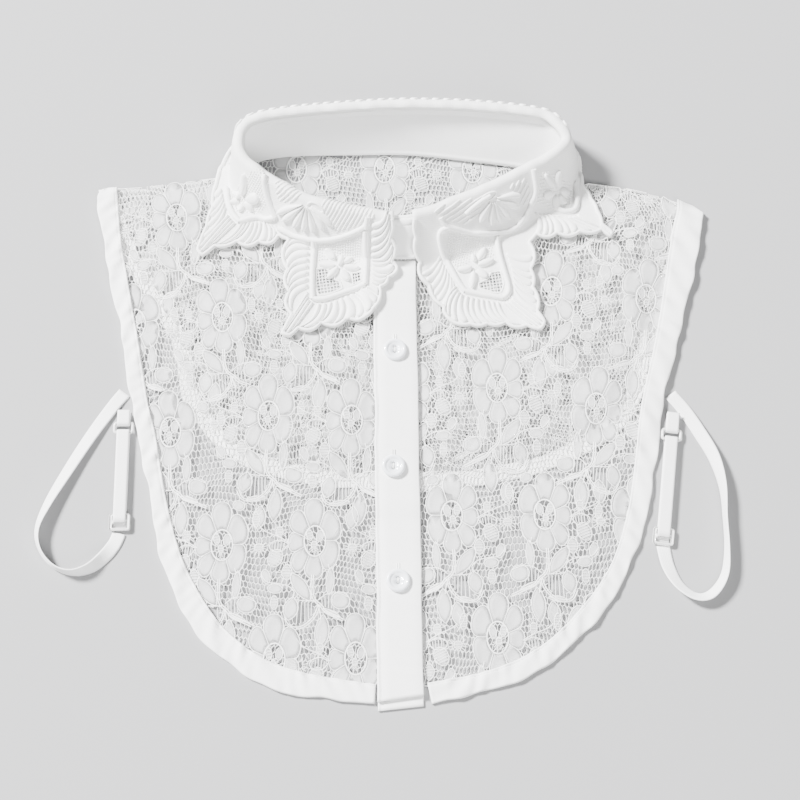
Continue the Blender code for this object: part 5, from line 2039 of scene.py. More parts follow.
LEFT_MOTIFS = (
    Motif(
        (
            plan(-43.6, 83.6, -44.4, 70.6, -44.5, 59.5, -44.2, 52.3),
            plan(-44.2, 52.3, -38.3, 52.3, -27.8, 55.8, -17.2, 59.3),
            plan(-17.2, 84.6, -16.9, 71.7, -17.2, 59.3), plan(-17.1, 85.6, -16.4, 88.4, -16.1, 90),
        ),
        (-31.2, 69.4),
        (
            (173, 1.6, 10.2, 1.6), (122, 4.4, 12.4, 2.1), (72, 0.6, 6.6, 1.4), (36, 3.4, 8.6, 1.3),
            (-5, 2.6, 11.4, 1.7), (228, 0.4, 8.6, 1.6), (-56, 2.2, 9.2, 2),
        ),
        (
            Ribs(plan(-46.2, 85, -46.9, 70.6, -46.9, 57.4), 13.95, 11, 8, -0.24),
            Ribs(plan(-46.9, 56.6, -46.4, 51.8, -43.4, 50), 10.95, 8.45, 4, 0),
            Ribs(plan(-42.6, 49.8, -36.9, 49.8, -27.1, 53.6, -20.6, 56), 8.4, 4.9, 8, 0.16),
            Ribs(plan(-20, 56.4, -17.6, 57, -14.9, 58), 4.9, 4, 2, 0.04),
            Ribs(plan(-14.4, 59.4, -14.5, 68.1, -14.3, 78.6), 3.9, 0.15, 8, -0.2),
            Ribs(plan(-14.2, 79, -14.1, 83.4, -13.8, 88), 0.1, 0, 3, -0.2,
                 outer=plan(-5.2, 87.6, -5.4, 89.4, -7, 91.8)),
        ),
    ),
    Motif(
        (
            plan(-90.4, 115, -88.4, 104.5, -85.8, 98.9, -82.3, 94.7),
            plan(-82.3, 94.7, -73.8, 96.8, -63.3, 95.6), plan(-68.6, 112, -66.9, 104.5, -63, 95.6),
        ),
        (-79.6, 107.6),
        (
            (150, 2, 9.4, 1.8), (84, 0.8, 8.6, 1.6), (196, 2.8, 8.2, 1.7), (248, 2.4, 8.4, 1.6),
            (300, 2.2, 8.6, 1.9), (-22, 2, 8.8, 1.8),
        ),
        (
            Ribs(plan(-89.6, 101, -91.4, 108, -93, 115), 20.4, 22.8, 5, 0.1),
            Ribs(plan(-88.8, 99, -86.6, 96, -84, 93.6), 20.3, 18.3, 4, 0),
            Ribs(plan(-82.6, 92.6, -75, 94.2, -65, 93.6), 18.2, 15, 9, 0.1),
        ),
    ),
)
RIGHT_MOTIFS = (
    Motif(
        (
            plan(24.4, 87, 19.9, 84.6, 20.6, 78.6, 25.7, 68.4, 30.1, 60.2, 33, 56.4),
            plan(33, 56.4, 39.6, 55, 46.2, 53.8, 52.2, 52.9),
            plan(52.2, 52.9, 54.6, 55, 55, 59, 53, 67.1, 50.4, 77.3, 49.2, 86.6),
        ),
        (37.9, 69.4),
        (
            (97, 2.4, 6.8, 1.2), (62, 4, 11.8, 1.8), (22, 1.8, 10.4, 1.7), (-43, 2.2, 8.6, 1.9),
            (-98, 2.4, 11.4, 1.8), (194, 1.4, 9.2, 1.7),
        ),
        (
            Ribs(plan(19.6, 76, 23.1, 68.4, 27.4, 60.8), 2.4, 4.4, 7, 0.1, 0.8),
            Ribs(plan(28, 59.6, 29.4, 56.4, 32, 54.2), 4.5, 6, 4, -0.12),
            Ribs(plan(32.8, 53.8, 37.8, 52.6, 50.6, 50.4), 6, 8.9, 7, -0.16),
            Ribs(plan(51.4, 50.4, 54.6, 51, 57, 54), 9, 11.3, 4, 0),
            Ribs(plan(57.8, 56, 56.9, 66, 53.9, 78), 11.8, 14.6, 7, -0.1, 0.8),
        ),
    ),
    Motif(
        (
            plan(67.3, 116.4, 68.7, 108.2, 66, 101.4, 62.8, 94.7),
            plan(91.2, 118, 91.5, 107, 89.6, 101.4, 84, 100.6, 79, 104),
        ),
        (79.4, 110.4),
        (
            (14, 1.6, 7.8, 1.7), (82, 1.4, 8.6, 1.6), (140, 1.8, 8.4, 1.7), (210, 2, 7.8, 1.6),
            (272, 1.6, 8.2, 1.9), (322, 1.8, 8.2, 1.7),
        ),
        (
            Ribs(plan(68, 99.6, 74, 99, 82, 97.6), 15.8, 18, 6, 0.16, 0.9),
            Ribs(plan(83, 97.4, 88, 97.4, 92.4, 99.4), 18.2, 20.2, 4, 0, 0.9),
        ),
    ),
)
BOWLS = (
    plan(-61.4, 91, -56.6, 88.2, -52.5, 86.2, -41.8, 83.2, -30.4, 83.4, -21.1, 85.2, -17.1, 86.6),
    plan(20, 90.4, 23.6, 87.6, 34.5, 86.3, 46.5, 87.3, 58.5, 91, 63.7, 97.3, 67.3, 104.6),
    plan(45.2, 102.4, 39.6, 98.8, 32.9, 93.6),
)
FANS = (
    Fan((-46.4, 97.6), (-42.4, 95.4, -22), plan(
        -61.8, 97, -59.2, 93.4, -53.8, 89.9, -48.7, 87.6, -43.7, 86.6, -38.6, 87.2, -34.6, 88.6)),
    Fan((46.2, 101.6), (44.6, 101.8, 28), plan(
        39.7, 91, 45.7, 90.4, 50.9, 92, 55.8, 94.6, 59.8, 99.8, 61, 105)),
)
WINDOWS = (
    plan(-42.5, 68.4, -38, 68.8, -34.4, 66.3, -33, 62.4, -30.4, 61.6, -29.1, 57.9, -32.4, 56.4,
         -37, 54.6, -41.3, 54.6, -42.6, 58),
    plan(-24.5, 66, -19, 66.4, -19, 61.2, -23.8, 59.6),
    plan(46.3, 66.6, 51, 67.4, 52.8, 60.8, 51.4, 56, 48.4, 55.4, 40.3, 58, 39.8, 60.7, 44.6, 63.1),
)
STIPPLE = (
    (plan(-41.6, 81, -30.5, 81.3, -19.2, 82.8, -19.3, 71.4, -27.9, 71.2, -32.5, 74.1,
          -41.8, 73), 88),
    (plan(23.6, 84.8, 24, 76, 29, 68, 36, 73, 47.6, 73.6, 46.8, 84.8), 80),
    (plan(-84, 100, -68, 99.6, -66, 110, -72, 116, -88, 112), 40),
    (plan(70, 104, 78, 101.6, 88, 103, 89.6, 117, 72, 117), 20),
)
RIDGES = (
    (plan(-33, 85, -19, 87, -13, 89.6, -13, 92.4, -36, 99.6, -41, 97), 47),
    (plan(-62, 101.6, -57, 99, -48, 100.4, -58, 108, -64, 110), 20),
    (plan(14, 92.6, 24, 89.4, 33, 89, 40, 94.4, 42.4, 102, 30, 98.6), 33),
    (plan(60, 101, 63.6, 100.6, 66, 107, 64, 113, 54, 107.6), 60),
)


@dataclass
class Leaf:
    """The fold-over collar: a lobed ground with satin ribs, cords, petals and rays."""

    ground: float = 1.1
    low: float = 0.2
    ends: tuple[float, float] = (3.7, 6.0)
    lip: float = 1.9
    step: float = 1.1
    back_edges: tuple[float, float] = (0.4, 1.2)
    edge_cord: float = 0.9
    square_cord: float = 1.45
    bowl_cord: float = 1.35
    ring_cord: float = 0.62
    scallop_cord: float = 0.62
    back_cord: float = 0.6
    window_cord: float = 0.45

    RIDGE_APART = 1.75
    NET_APART = 1.65
    DOTS_APART = 1.3
    DOT = Stitch(1.0, 0.45, 0.45)
    DOT_LIFT, NET_DEPTH = 0.05, 0.2
    NET_TURNS = (8.0, 98.0)
    RIDGE = (0.35, 0.62, 0.62, 0.35)
    CORD_INSET, RIB_INSET = 0.8, 1.6
    EYE_LOOP = (4.4, 1.3)
    SCALLOPS = (1.5, 2.7, 5.4)
    SCALLOP_WIDTH = 5.6
    BACK_WAVES = 44.0

    @property
    def top(self) -> float:
        """Return how far the ground's upper face lies off the leaf's underside."""
        return self.low + self.ground

    def beside(self, away: float, first: float, last: float, spacing: float) -> Array:
        """Return points at a distance outside the fold between two places along it.

        Args:
            away: the distance.
            first: the first place along the fold.
            last: the last place.
            spacing: the points' spacing.

        Returns:
            The plan points.
        """
        along = np.linspace(first, last, max(2, round((last - first) / spacing)))
        here = LIE.ring.at(along)[:, :2]
        way = LIE.ring.at(along + 1.5)[:, :2] - LIE.ring.at(along - 1.5)[:, :2]
        return here + left_of(unit(way)) * away

    def behind(self, raised: Threads, shapes: Faces, first: float, last: float) -> None:
        """Lay scallops and short ribs on the fall behind the neck.

        Args:
            raised: where the scallops are added.
            shapes: where the ribs are added.
            first: the first place along the fold.
            last: the last place.
        """
        high, low, foot = (self.beside(away, first, last, 0.7) for away in self.SCALLOPS)
        turns = round((last - first) / self.SCALLOP_WIDTH)
        wave = np.abs(np.sin(np.linspace(0.0, turns * math.pi, len(high))))[:, None]
        self.cord(raised, low + (high - low) * wave, self.scallop_cord, 0.3, 0.7)
        for a, b in zip(low[2:-2:4], foot[2:-2:4]):
            self.petal(shapes, a, b, 1.15, 1.1)

    def pucker(self, points: Array) -> Array:
        """Return how the fold's cloth is drawn up by its seam.

        Args:
            points: plan points.

        Returns:
            A rise for each.
        """
        away, along = LIE.fold_distance(points)
        draw = np.sin(along / 1.9) * np.sin(along / 7.3) + 0.7 * np.sin(along / 3.1 + 1.0)
        return 0.3 * draw * np.exp(-((away + 0.6) / 1.6) ** 2)

    def edges(self) -> tuple[Array, Array, Array]:
        """Return the left lobes, the waved edge behind the neck and the right lobes.

        Returns:
            The three edges, one after another round the leaf.
        """
        left, right = lobed(LEFT_LOBES, 1.0), lobed(RIGHT_LOBES, -1.0)
        first = LIE.fold_distance(left[-1:])[1][0] + 4.0
        last = LIE.fold_distance(right[-1:])[1][0] - 4.0
        near, far = (self.beside(off, first, last, 2.0) for off in (0.0, 1.0))
        run = np.interp(np.linspace(first, last, len(near)), *LIE.falls)[:, None]
        turn = math.pi * self.BACK_WAVES * np.linspace(0.0, 1.0, len(near))
        wave = 0.5 + 0.5 * np.cos(turn)[:, None]
        low, high = self.back_edges
        return left, near + (far - near) * (run + low + (high - low) * wave), right

    def on_top(self, points: Array, lift: Array | float) -> Array:
        """Return plan points on the leaf, a lift off its underside along its normal.

        Args:
            points: plan points.
            lift: one lift, or one for each.

        Returns:
            The points with their heights.
        """
        step = 0.15
        base = LIE.leaf(points)
        slope_x = (LIE.leaf(points + (step, 0.0)) - LIE.leaf(points - (step, 0.0))) / (2.0 * step)
        slope_y = (LIE.leaf(points + (0.0, step)) - LIE.leaf(points - (0.0, step))) / (2.0 * step)
        normal = np.stack([-slope_x, -slope_y, np.ones(len(points))], axis=1)
        normal /= np.linalg.norm(normal, axis=1)[:, None]
        return with_height(points, base) + normal * np.reshape(lift, (-1, 1))

    def base(self, outline: Array) -> None:
        """Make the ground: a closed sheet within the lobed outline.

        Args:
            outline: the leaf's outline.
        """
        whole = LIE.ring.length
        low, high = outline.min(0), outline.max(0)
        xs, ys = (np.arange(a, b, self.step) for a, b in zip(low, high))
        grid = np.stack(np.meshgrid(xs, ys), axis=-1)
        grid[1::2, :, 0] += 0.5 * self.step
        grid = grid.reshape(-1, 2)
        grid = grid[inside(grid, outline)]
        grid = grid[LIE.fold_distance(grid)[0] > 3.0]
        rows = [self.beside(away, self.ends[0] + 1.0, whole - self.ends[1] - 1.0, 1.3)
                for away in (-1.2, -0.4, 0.4, 1.1, 1.7, 2.3)]
        extra = np.vstack([grid] + rows)
        extra = extra[inside(extra, outline)]
        extra = extra[nearest(extra, looped(outline))[0] > 0.5]
        flat = np.vstack([outline, extra])
        count = len(outline)
        found = delaunay_2d_cdt([Vector(p) for p in flat.tolist()], [],
                                [list(range(count))], 1, 1e-5, False)
        corners = np.array([tuple(p) for p in found[0]])
        top = self.on_top(corners, self.top + self.pucker(corners))
        bottom = self.on_top(corners, self.low)
        number = len(corners)
        middles = np.array([corners[face].mean(0) for face in found[2]])
        within = inside(middles, outline)
        for window in WINDOWS:
            within &= ~inside(middles, window)
        faces = [tuple(face) for face, kept in zip(found[2], within) if kept]
        made = faces + [tuple(k + number for k in face[::-1]) for face in faces]
        pairs = {(face[k], face[(k + 1) % 3]) for face in faces for k in range(3)}
        made += [(b, a, a + number, b + number) for a, b in pairs if (b, a) not in pairs]
        sheet = Faces()
        sheet.add(np.vstack([top, bottom]), made)
        sheet.make("collar_leaf_ground", LEAF_GROUND, "embroidery", ("collar_leaf",))

    def cord(self, threads: Threads, plan: Array, radius: Array | float, sink: float = 0.35,
             spacing: float = 1.2, closed: bool = False) -> None:
        """Lay a satin cord along a plan line.

        Args:
            threads: where it is added.
            plan: the line.
            radius: its radius, for all or from end to end.
            sink: the share of its radius that lies in the ground.
            spacing: the points' spacing.
            closed: whether it joins its start.
        """
        line = Track(plan).even(spacing)
        radii = np.broadcast_to(radius, 1) if np.ndim(radius) == 0 else np.asarray(radius)
        radii = np.interp(np.linspace(0, 1, len(line)), np.linspace(0, 1, len(radii)), radii)
        lift = self.top + radii * (1.0 - 2.0 * sink)
        threads.line(self.on_top(line, lift), radii, closed)

    def relief(self, faces: Faces, near: Array, far: Array, high: float) -> None:
        """Add a raised flat-topped shape between two rows of plan points.

        Args:
            faces: where it is added.
            near: the first row.
            far: the second row.
            high: how far it stands up.
        """
        across = np.array((-1.0, -0.92, -0.6, 0.0, 0.6, 0.92, 1.0))
        lifts = np.array((-0.25, 0.35, 0.82, 1.0, 0.82, 0.35, -0.25)) * high
        count, sides = len(near), len(across)
        share = (0.5 + 0.5 * across)[None, :, None]
        plan = near[:, None, :] + (far - near)[:, None, :] * share
        lift = self.top + np.broadcast_to(lifts, (count, sides))
        points = self.on_top(plan.reshape(-1, 2), lift.reshape(-1))
        made = []
        for row in range(count - 1):
            for k in range(sides):
                a, b = row * sides + k, row * sides + (k + 1) % sides
                made.append((a, b, b + sides, a + sides))
        made.append(tuple(range(sides))[::-1])
        made.append(tuple((count - 1) * sides + k for k in range(sides)))
        way, over = near[-1] - near[0], far[count // 2] - near[count // 2]
        if way[0] * over[1] - way[1] * over[0] > 0.0:
            made = [face[::-1] for face in made]
        faces.add(points, made)

    def ribs(self, faces: Faces, family: Ribs, edge: Array) -> None:
        """Lay a family of ribs from its inner line to the edge, narrow grooves between.

        Args:
            faces: where they are added.
            family: the ribs' sizes.
            edge: the leaf's edge.
        """
        where = np.linspace(family.first, family.last, family.count + 1) * LOBE_STEPS
        outer = np.stack([np.interp(where, np.arange(len(edge)), c) for c in edge.T], axis=1)
        if family.outer is not None:
            outer = Track(flow(family.outer))
            outer = outer.at(np.linspace(0.0, 1.0, family.count + 1) * outer.length)
        track = Track(flow(family.inner))
        inner = track.at(np.linspace(0.0, 1.0, family.count + 1) * track.length)
        t = np.linspace(0.0, 1.0, 12)[:, None]
        bounds = []
        for a, b in zip(inner, outer):
            bounds.append(a + (b - a) * t + left_of(b - a) * family.bow * (4.0 * t * (1.0 - t)))
        narrow = np.interp(t, (0.0, 0.08, 0.86, 0.95, 1.0), (0.7, 1.0, 1.0, 0.84, 0.4))
        for near, far in zip(bounds, bounds[1:]):
            middle, half = 0.5 * (near + far), 0.5 * (far - near)
            wide = np.hypot(*half.T)[:, None]
            half = half * narrow * np.clip(1.0 - 0.26 / np.maximum(wide, 0.3), 0.3, 1.0)
            self.relief(faces, middle - half, middle + half, family.high)

    def petal(self, faces: Faces, start: Array, end: Array, half: float, high: float,
              fullest: float = 0.5) -> None:
        """Lay one petal or teardrop between two plan points.

        Args:
            faces: where it is added.
            start: its narrow end.
            end: its other end.
            half: half its width.
            high: how far it stands up.
            fullest: the share of its length where it is widest.
        """
        t = np.linspace(0.0, 1.0, 12)
        bulge = np.abs(np.sin(math.pi * t ** (math.log(0.5) / math.log(fullest)))) ** 0.5
        way = end - start
        side = left_of(way) / max(0.1, float(np.hypot(*way)))
        line = start + way * t[:, None]
        over = side * (half * np.maximum(bulge, 0.12))[:, None]
        self.relief(faces, line - over, line + over, high)

    def make(self) -> None:
        """Make the ground and everything that stands on it."""
        whole = LIE.ring.length
        left, back, right = self.edges()
        lip = self.beside(-self.lip, self.ends[0], whole - self.ends[1], 1.3)
        self.base(np.vstack([lip[::-1], left, back, right[::-1]]))
        raised, shapes = Threads(), Faces()
        for edge, side, motifs in ((left, -1.0, LEFT_MOTIFS), (right, 1.0, RIGHT_MOTIFS)):
            inset = sideways(edge, side * self.CORD_INSET)
            self.cord(raised, inset, self.edge_cord, spacing=0.9)
            for motif in motifs:
                self.motif(raised, shapes, motif, sideways(edge, side * self.RIB_INSET))
        for bowl in BOWLS:
            self.cord(raised, flow(bowl), self.bowl_cord)
        for fan in FANS:
            self.fan(raised, shapes, fan)
        for area, turn in RIDGES:
            for line in self.rows(area, turn, self.RIDGE_APART):
                self.cord(raised, line, self.RIDGE, 0.45)
        self.cord(raised, back, self.back_cord, 0.4, 1.6)
        ends = (LIE.fold_distance(edge[-1:])[1][0] for edge in (left, right))
        self.behind(raised, shapes, *ends)
        net = self.windows(raised)
        raised.make("collar_leaf_cords", 1.0, 8, SATIN, "embroidery")
        shapes.make("collar_leaf_ribs", SATIN, "embroidery")
        net.make("collar_leaf_net", 0.24, 4, SEWING, "embroidery")
        dots = Threads()
        for area, turn in STIPPLE:
            for line in self.rows(area, turn, self.DOTS_APART):
                dots.line(self.on_top(line, self.top + self.DOT_LIFT))
        dots.stitch("collar_leaf_stipple", self.DOT)

    def motif(self, raised: Threads, shapes: Faces, motif: Motif, bound: Array) -> None:
        """Lay a corded square with its petals and the ribs round it.

        Args:
            raised: where the cords are added.
            shapes: where the petals and ribs are added.
            motif: the square.
            bound: the line that the ribs run to.
        """
        for cord in motif.cords:
            self.cord(raised, flow(cord, steps=6), self.square_cord)
        for family in motif.ribs:
            self.ribs(shapes, family, bound)
        for turn, first, last, half in motif.petals:
            start, end = turned(np.array(((first, 0.0), (last, 0.0))), turn) + motif.flower
            self.petal(shapes, start, end, 1.2 * half, 2.0)

    def fan(self, raised: Threads, shapes: Faces, fan: Fan) -> None:
        """Lay a fan of teardrops and the looped cord at its eye.

        Args:
            raised: where the cord is added.
            shapes: where the teardrops are added.
            fan: the fan.
        """
        eye = np.array(fan.eye)
        for end in fan.ends:
            self.petal(shapes, eye + (end - eye) * 0.16, end, fan.half, 1.9, 0.72)
        x, y, turn = fan.ring
        ring = turned(circle(1.0, 20) * self.EYE_LOOP, turn) + (x, y)
        self.cord(raised, ring, self.ring_cord, 0.4, 0.9, True)

    def windows(self, raised: Threads) -> Threads:
        """Lay a cord round each of the leaf's windows.

        Args:
            raised: where the cords are added.

        Returns:
            The threads of the net in the windows.
        """
        net = Threads()
        for window in WINDOWS:
            self.cord(raised, looped(window), self.window_cord, 0.5, 0.9)
            for turn in self.NET_TURNS:
                for line in self.rows(window, turn, self.NET_APART):
                    net.line(self.on_top(Track(line).even(1.5), self.top - self.NET_DEPTH))
        return net

    def rows(self, area: Array, turn: float, spacing: float) -> list[Array]:
        """Return parallel lines over an area of the plan.

        Args:
            area: its outline.
            turn: the way that they run, in degrees.
            spacing: how far apart they are.

        Returns:
            The lines.
        """
        way = turned(np.array((1.0, 0.0)), turn)
        side = left_of(way)
        lines = []
        for off in np.arange(-40.0, 40.0, spacing):
            line = area.mean(0) + side * off + way * np.arange(-45.0, 45.0, 0.6)[:, None]
            within = inside(line, area)
            if within.sum() > 3:
                lines.append(line[within])
        return lines


# ---- buttons, straps and tackle

BUTTONS = {"button_top": (-2.5, 24.6), "button_middle": (-3.2, -36.4), "button_low": (-0.9, -93.8)}


def punched(outline: Array, holes: list[Array], low: float, high: float, soft: float,
            rings: list[Array] | None = None) -> tuple[Array, list[tuple[int, ...]]]:
    """Return a flat plate with holes and a softened or a turned side.

    Args:
        outline: its outline, counter-clockwise.
        holes: the holes' outlines, counter-clockwise.
        low: its lower height.
        high: its upper height.
        soft: how far the faces' edges are taken in.
        rings: the side's rings of points from the top down, or None for a plain side.

    Returns:
        The points and the faces.
    """
    way = outline - outline.mean(0)
    inset = outline.mean(0) + way * (1.0 - soft / np.hypot(*way.T))[:, None]
    loops, first = [], 0
    for loop in [inset] + holes:
        loops.append(list(range(first, first + len(loop))))
        first += len(loop)
    flat = np.vstack([inset] + holes)
    found = delaunay_2d_cdt([Vector(p) for p in flat.tolist()], [], loops, 1, 1e-6)
    corners = np.array([tuple(p) for p in found[0]])
    centres = np.array([corners[list(face)].mean(0) for face in found[2]])
    solid = ~np.any([inside(centres, hole) for hole in holes], axis=0)
    faces = [tuple(face) for face, kept in zip(found[2], solid) if kept]
    number, around = len(corners), len(outline)
    faces += [tuple(k + number for k in face[::-1]) for face in faces]
    if rings is None:
        rings = [with_height(outline, high - soft), with_height(outline, low + soft)]
    spot = {source: k for k, sources in enumerate(found[3]) for source in sources}
    rim = np.array([spot[k] for k in loops[0]])
    rounds = [rim, *(2 * number + k * around + np.arange(around) for k in range(len(rings))),
              rim + number]
    for upper, lower in zip(rounds, rounds[1:]):
        faces += zip(upper, lower, np.roll(lower, -1), np.roll(upper, -1))
    for hole in loops[1:]:
        loop = [spot[k] for k in hole]
        faces += [(a, b, b + number, a + number) for a, b in zip(loop, loop[1:] + loop[:1])]
    return np.vstack([with_height(corners, high), with_height(corners, low), *rings]), faces


def circle(radius: float, count: int, middle: tuple[float, float] = (0.0, 0.0)) -> Array:
    """Return a circle's points, counter-clockwise.

    Args:
        radius: its radius.
        count: the number of points.
        middle: its middle.

    Returns:
        The points.
    """
    around = 2.0 * math.pi * np.arange(count) / count
    x, y = middle[0] + radius * np.cos(around), middle[1] + radius * np.sin(around)
    return np.stack([x, y], axis=1)


@dataclass
class Button:
    """A two-hole shirt button sewn on with a few strands."""

    name: str
    x: float
    y: float
    dish: float = 3.3
    hole: float = 0.8
    apart: float = 1.3

    AROUND = 40
    LIFT = 1.1
    LOW, HIGH = -1.15, 0.45
    SOFT = 0.05
    STRANDS = (-0.22, 0.0, 0.22)
    STRAND = ((-1.3, -1.4), (-1.25, 0.3), (-0.7, 0.68), (0.0, 0.8), (0.7, 0.68), (1.25, 0.3),
              (1.3, -1.4))
    PROFILE = ((3.7, 0.62), (4.0, 0.98), (4.6, 1.14), (5.2, 1.04), (5.6, 0.72), (5.75, 0.15),
               (5.6, -0.5), (5.1, -0.95), (4.2, -1.15))

    def make(self) -> None:
        """Make the button and its thread."""
        rest = LIE.placket(np.array([self.y]))[0] + PLACKET_STACK + self.LIFT
        holes = [circle(self.hole, 12, (0.0, off)) for off in (-self.apart, self.apart)]
        sides = [with_height(circle(r, self.AROUND), z) for r, z in self.PROFILE]
        points, faces = punched(circle(self.dish, self.AROUND), holes, self.LOW, self.HIGH,
                                self.SOFT, sides)
        made = Faces()
        made.add(points + (self.x, self.y, rest), faces)
        made.make(f"{self.name}_shell", SHELL, "button", (self.name,))
        thread = Threads()
        for off in self.STRANDS:
            line = np.array([(off, *place) for place in self.STRAND])
            thread.line(line + (self.x, self.y, rest))
        thread.make(f"{self.name}_thread", 0.2, 5, SEWING, "cotton")


@dataclass
class Strap:
    """An elastic side strap: its free loop, doubled end, slider, link and tab."""

    side: str
    rows: Array
    slider: tuple[float, float]
    link: tuple[float, float]
    tab: float
    width: float = 6.5
    thick: float = 0.7
    low: float = 0.45
    bar: float = 0.75
    narrower: float = 0.3

    CORDS = 9
    LINK_HALF = (4.5, 2.6)
    LINK_CORNER = 1.3
    SLIDER_HALF = (5.2, 4.4)
    SLIDER_CORNER = 1.4
    HOLE_HALF = (3.6, 1.2)
    HOLE_CORNER = 0.5
    HOLES_AT = (-1.95, 1.95)
    SLIDER_SOFT = 0.3
    # How far the doubled run's ends lie within the slider's edge and off its middle
    RUN_ENDS = (1.6, 0.6)

    def strip(self, name: str, places: Array, tilts: Array, node: str) -> bpy.types.Object:
        """Make a flat ribbed strap through middle points.

        Args:
            name: the piece's name.
            places: its middle points.
            tilts: how far it is turned off the level at each.
            node: the CAD node that it replaces.

        Returns:
            The strap.
        """
        way = unit(np.gradient(places[:, :2], axis=0))
        turn = np.radians(tilts)
        across = np.column_stack([left_of(way) * np.cos(turn)[:, None], np.sin(turn)])
        piece = self.woven(places, across, self.width).make(name, ELASTIC, "elastic", (node,))
        offs = np.linspace(-0.5, 0.5, self.CORDS) * self.width
        mark(piece, "across", np.tile(offs, 2 * len(places)).astype(np.float32) * MM)
        return piece

    def woven(self, places: Array, across: Array, width: float) -> Faces:
        """Return a flat strap with lengthwise cords and thin edges.

        Args:
            places: its middle points.
            across: the way across it, for all or at each point.
            width: its width.

        Returns:
            The closed strap.
        """
        offs = np.linspace(-0.5, 0.5, self.CORDS) * width
        across = np.broadcast_to(across, places.shape)
        rows = places[:, None, :] + across[:, None, :] * offs[None, :, None]
        cords = np.where(np.arange(self.CORDS) % 2, 1.0, 0.82)
        thick = self.thick * np.where(abs(offs) > 0.45 * width, 0.55, cords)
        made = Faces()
        made.add(*slab(rows, np.broadcast_to(thick, rows.shape[:2])))
        return made

    def make(self) -> None:
        """Make the strap's pieces."""
        name = f"strap_{self.side}"
        path = Track(flow(self.rows)).even(1.5)
        lift = 0.5 * self.width * np.sin(np.radians(abs(path[:, 2])))
        places = with_height(path, self.low + lift)
        loop = self.strip(f"{name}_loop", places, path[:, 2], name)
        slider, link = np.array(self.slider), np.array(self.link)
        way = (link - slider) / np.hypot(*(link - slider))
        bar_z = self.low + 0.5 * self.thick + GAP + self.bar
        top_z = bar_z + self.bar + GAP + 0.5 * self.thick
        near, far = self.RUN_ENDS
        edge, seam = self.LINK_HALF[1], self.LINK_HALF[1] + self.tab
        for piece, start, bar, end in (
            (f"{name}_doubled", slider - way * (self.SLIDER_HALF[1] - near), link - way * edge,
             slider - way * far),
            (f"tab_{self.side}", link + way * seam, link + way * edge, link + way * seam),
        ):
            run = (bar - start) / np.hypot(*(bar - start))
            turn = np.linspace(-0.5 * math.pi, 0.5 * math.pi, 13)
            reach = top_z - bar_z
            bend = with_height(bar + run * (reach * np.cos(turn))[:, None], 0.0)
            bend[:, 2] = bar_z + reach * np.sin(turn)
            steps = np.linspace(0.0, 1.0, 16)[:, None]
            lower = with_height(start + (bar - start) * steps, self.low)[:-1]
            upper = with_height(bar + (end - bar) * steps, top_z)[1:]
            made = self.woven(np.vstack([lower, bend, upper]), np.append(left_of(run), 0.0),
                              self.width - self.narrower)
            made.make(f"{piece}_elastic", ELASTIC, "elastic", (piece,))
        wire = Threads()
        line = self.box(link, way, self.LINK_HALF, self.LINK_CORNER)
        wire.line(with_height(line, bar_z), closed=True)
        ring = wire.make(f"link_{self.side}_wire", self.bar, 10, CLEAR, "slider")
        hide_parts(f"link_{self.side}")
        holes = [self.box(slider + way * off, way, self.HOLE_HALF, self.HOLE_CORNER)[::-1]
                 for off in self.HOLES_AT]
        outline = self.box(slider, way, self.SLIDER_HALF, self.SLIDER_CORNER)[::-1]
        plate = Faces()
        plate.add(*punched(outline, holes, bar_z - self.bar, bar_z + self.bar, self.SLIDER_SOFT))
        plate.make(f"slider_{self.side}_plate", CLEAR, "slider", (f"slider_{self.side}",))

    def box(self, middle: Array, way: Array, half: tuple[float, float], corner: float) -> Array:
        """Return a closed plan path: a box with round corners, turned to a way.

        Args:
            middle: its middle.
            way: the way that its second side runs.
            half: half its two sides.
            corner: its corners' radius.

        Returns:
            The path's points.
        """
        path = []
        for quarter, (sx, sy) in enumerate(((1, 1), (-1, 1), (-1, -1), (1, -1))):
            turn = 0.5 * math.pi * (quarter + np.arange(6) / 5)
            u = sx * (half[0] - corner) + corner * np.cos(turn)
            v = sy * (half[1] - corner) + corner * np.sin(turn)
            path.append(middle - left_of(way) * u[:, None] + way * v[:, None])
        return np.vstack(path)


# ---- stage

PICTURE, FOCAL = 800.0, 1900.0
SENSOR = 36.0
CAMERA_TILT, CAMERA_FAR = 70.0, 0.95
FLOOR_HALF, FLOOR_DROP = 2e3, 0.05
FLOOR_COLOUR, FLOOR_ROUGHNESS = (0.32, 0.32, 0.325, 1.0), 0.9
SKY_COLOUR, SKY_STRENGTH = (1.0, 1.0, 1.0, 1.0), 0.34


def make_camera() -> None:
    """Place the camera over the collar, looking down at it from the hem's side."""
    lens = bpy.data.cameras.new("camera")
    lens.sensor_width = SENSOR
    lens.lens = SENSOR * FOCAL / PICTURE
    lens.clip_start = 0.05
    camera = bpy.data.objects.new("camera", lens)
    bpy.context.scene.collection.objects.link(camera)
    tilt, far = math.radians(CAMERA_TILT), CAMERA_FAR
    camera.location = (0.0, -far * math.cos(tilt), far * math.sin(tilt))
    camera.rotation_euler = (math.radians(90.0) - tilt, 0.0, 0.0)
    bpy.context.scene.camera = camera


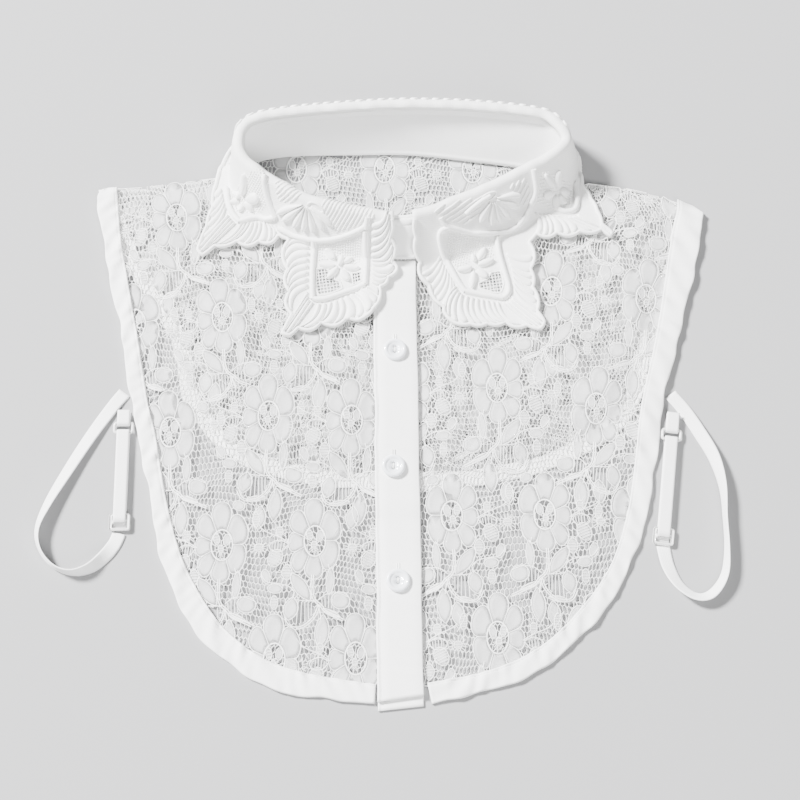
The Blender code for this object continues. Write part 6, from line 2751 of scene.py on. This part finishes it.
@dataclass(frozen=True)
class Lamp:
    """A soft square lamp that looks at the collar."""

    name: str
    place: tuple[float, float, float]
    size: float
    power: float

    def make(self) -> None:
        """Add the lamp."""
        light = bpy.data.lights.new(self.name, "AREA")
        light.shape = "SQUARE"
        light.size = self.size
        light.energy = self.power
        made = bpy.data.objects.new(self.name, light)
        bpy.context.scene.collection.objects.link(made)
        made.location = self.place
        made.rotation_euler = (-Vector(self.place)).to_track_quat("-Z", "Y").to_euler()


LAMPS = (Lamp("key", (-2.8, 1.7, 2.8), 0.8, 1300), Lamp("fill", (1.4, -2.6, 2.2), 1.8, 200))


def make_stage() -> None:
    """Make the pale floor, the lamps and the soft light all round."""
    corners = plan(-1, -1, 1, -1, 1, 1, -1, 1) * FLOOR_HALF
    floor = new_object("floor", with_height(corners, -FLOOR_DROP), [(0, 1, 2, 3)])
    paper = bpy.data.materials.new("pale_floor")
    paper.use_nodes = True
    shader = paper.node_tree.nodes["Principled BSDF"]
    shader.inputs["Base Color"].default_value = FLOOR_COLOUR
    shader.inputs["Roughness"].default_value = FLOOR_ROUGHNESS
    floor.data.materials.append(paper)
    for lamp in LAMPS:
        lamp.make()
    world = bpy.data.worlds.new("studio")
    world.use_nodes = True
    sky = world.node_tree.nodes["Background"]
    sky.inputs["Color"].default_value = SKY_COLOUR
    sky.inputs["Strength"].default_value = SKY_STRENGTH
    bpy.context.scene.world = world


def main() -> None:
    """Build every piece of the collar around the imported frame."""
    logging.basicConfig(level=logging.INFO, format="%(message)s")
    make_camera()
    make_stage()
    Back().make()
    Front(1, LEFT_EDGE, LEFT_SHOULDER, LEFT_SPRIGS, 9.6).make()
    Front(-1, RIGHT_EDGE, RIGHT_SHOULDER, RIGHT_SPRIGS, 9.8).make()
    Placket().make()
    Stand().make()
    Leaf().make()
    for name, (x, y) in BUTTONS.items():
        Button(name, x, y).make()
    Strap("left", LEFT_STRAP, (-136.8, -64.0), (-137.2, -15.4), 6.3).make()
    Strap("right", RIGHT_STRAP, (128.1, -71.2), (134.6, -19.0), 8.7).make()


if __name__ == "__main__":
    main()
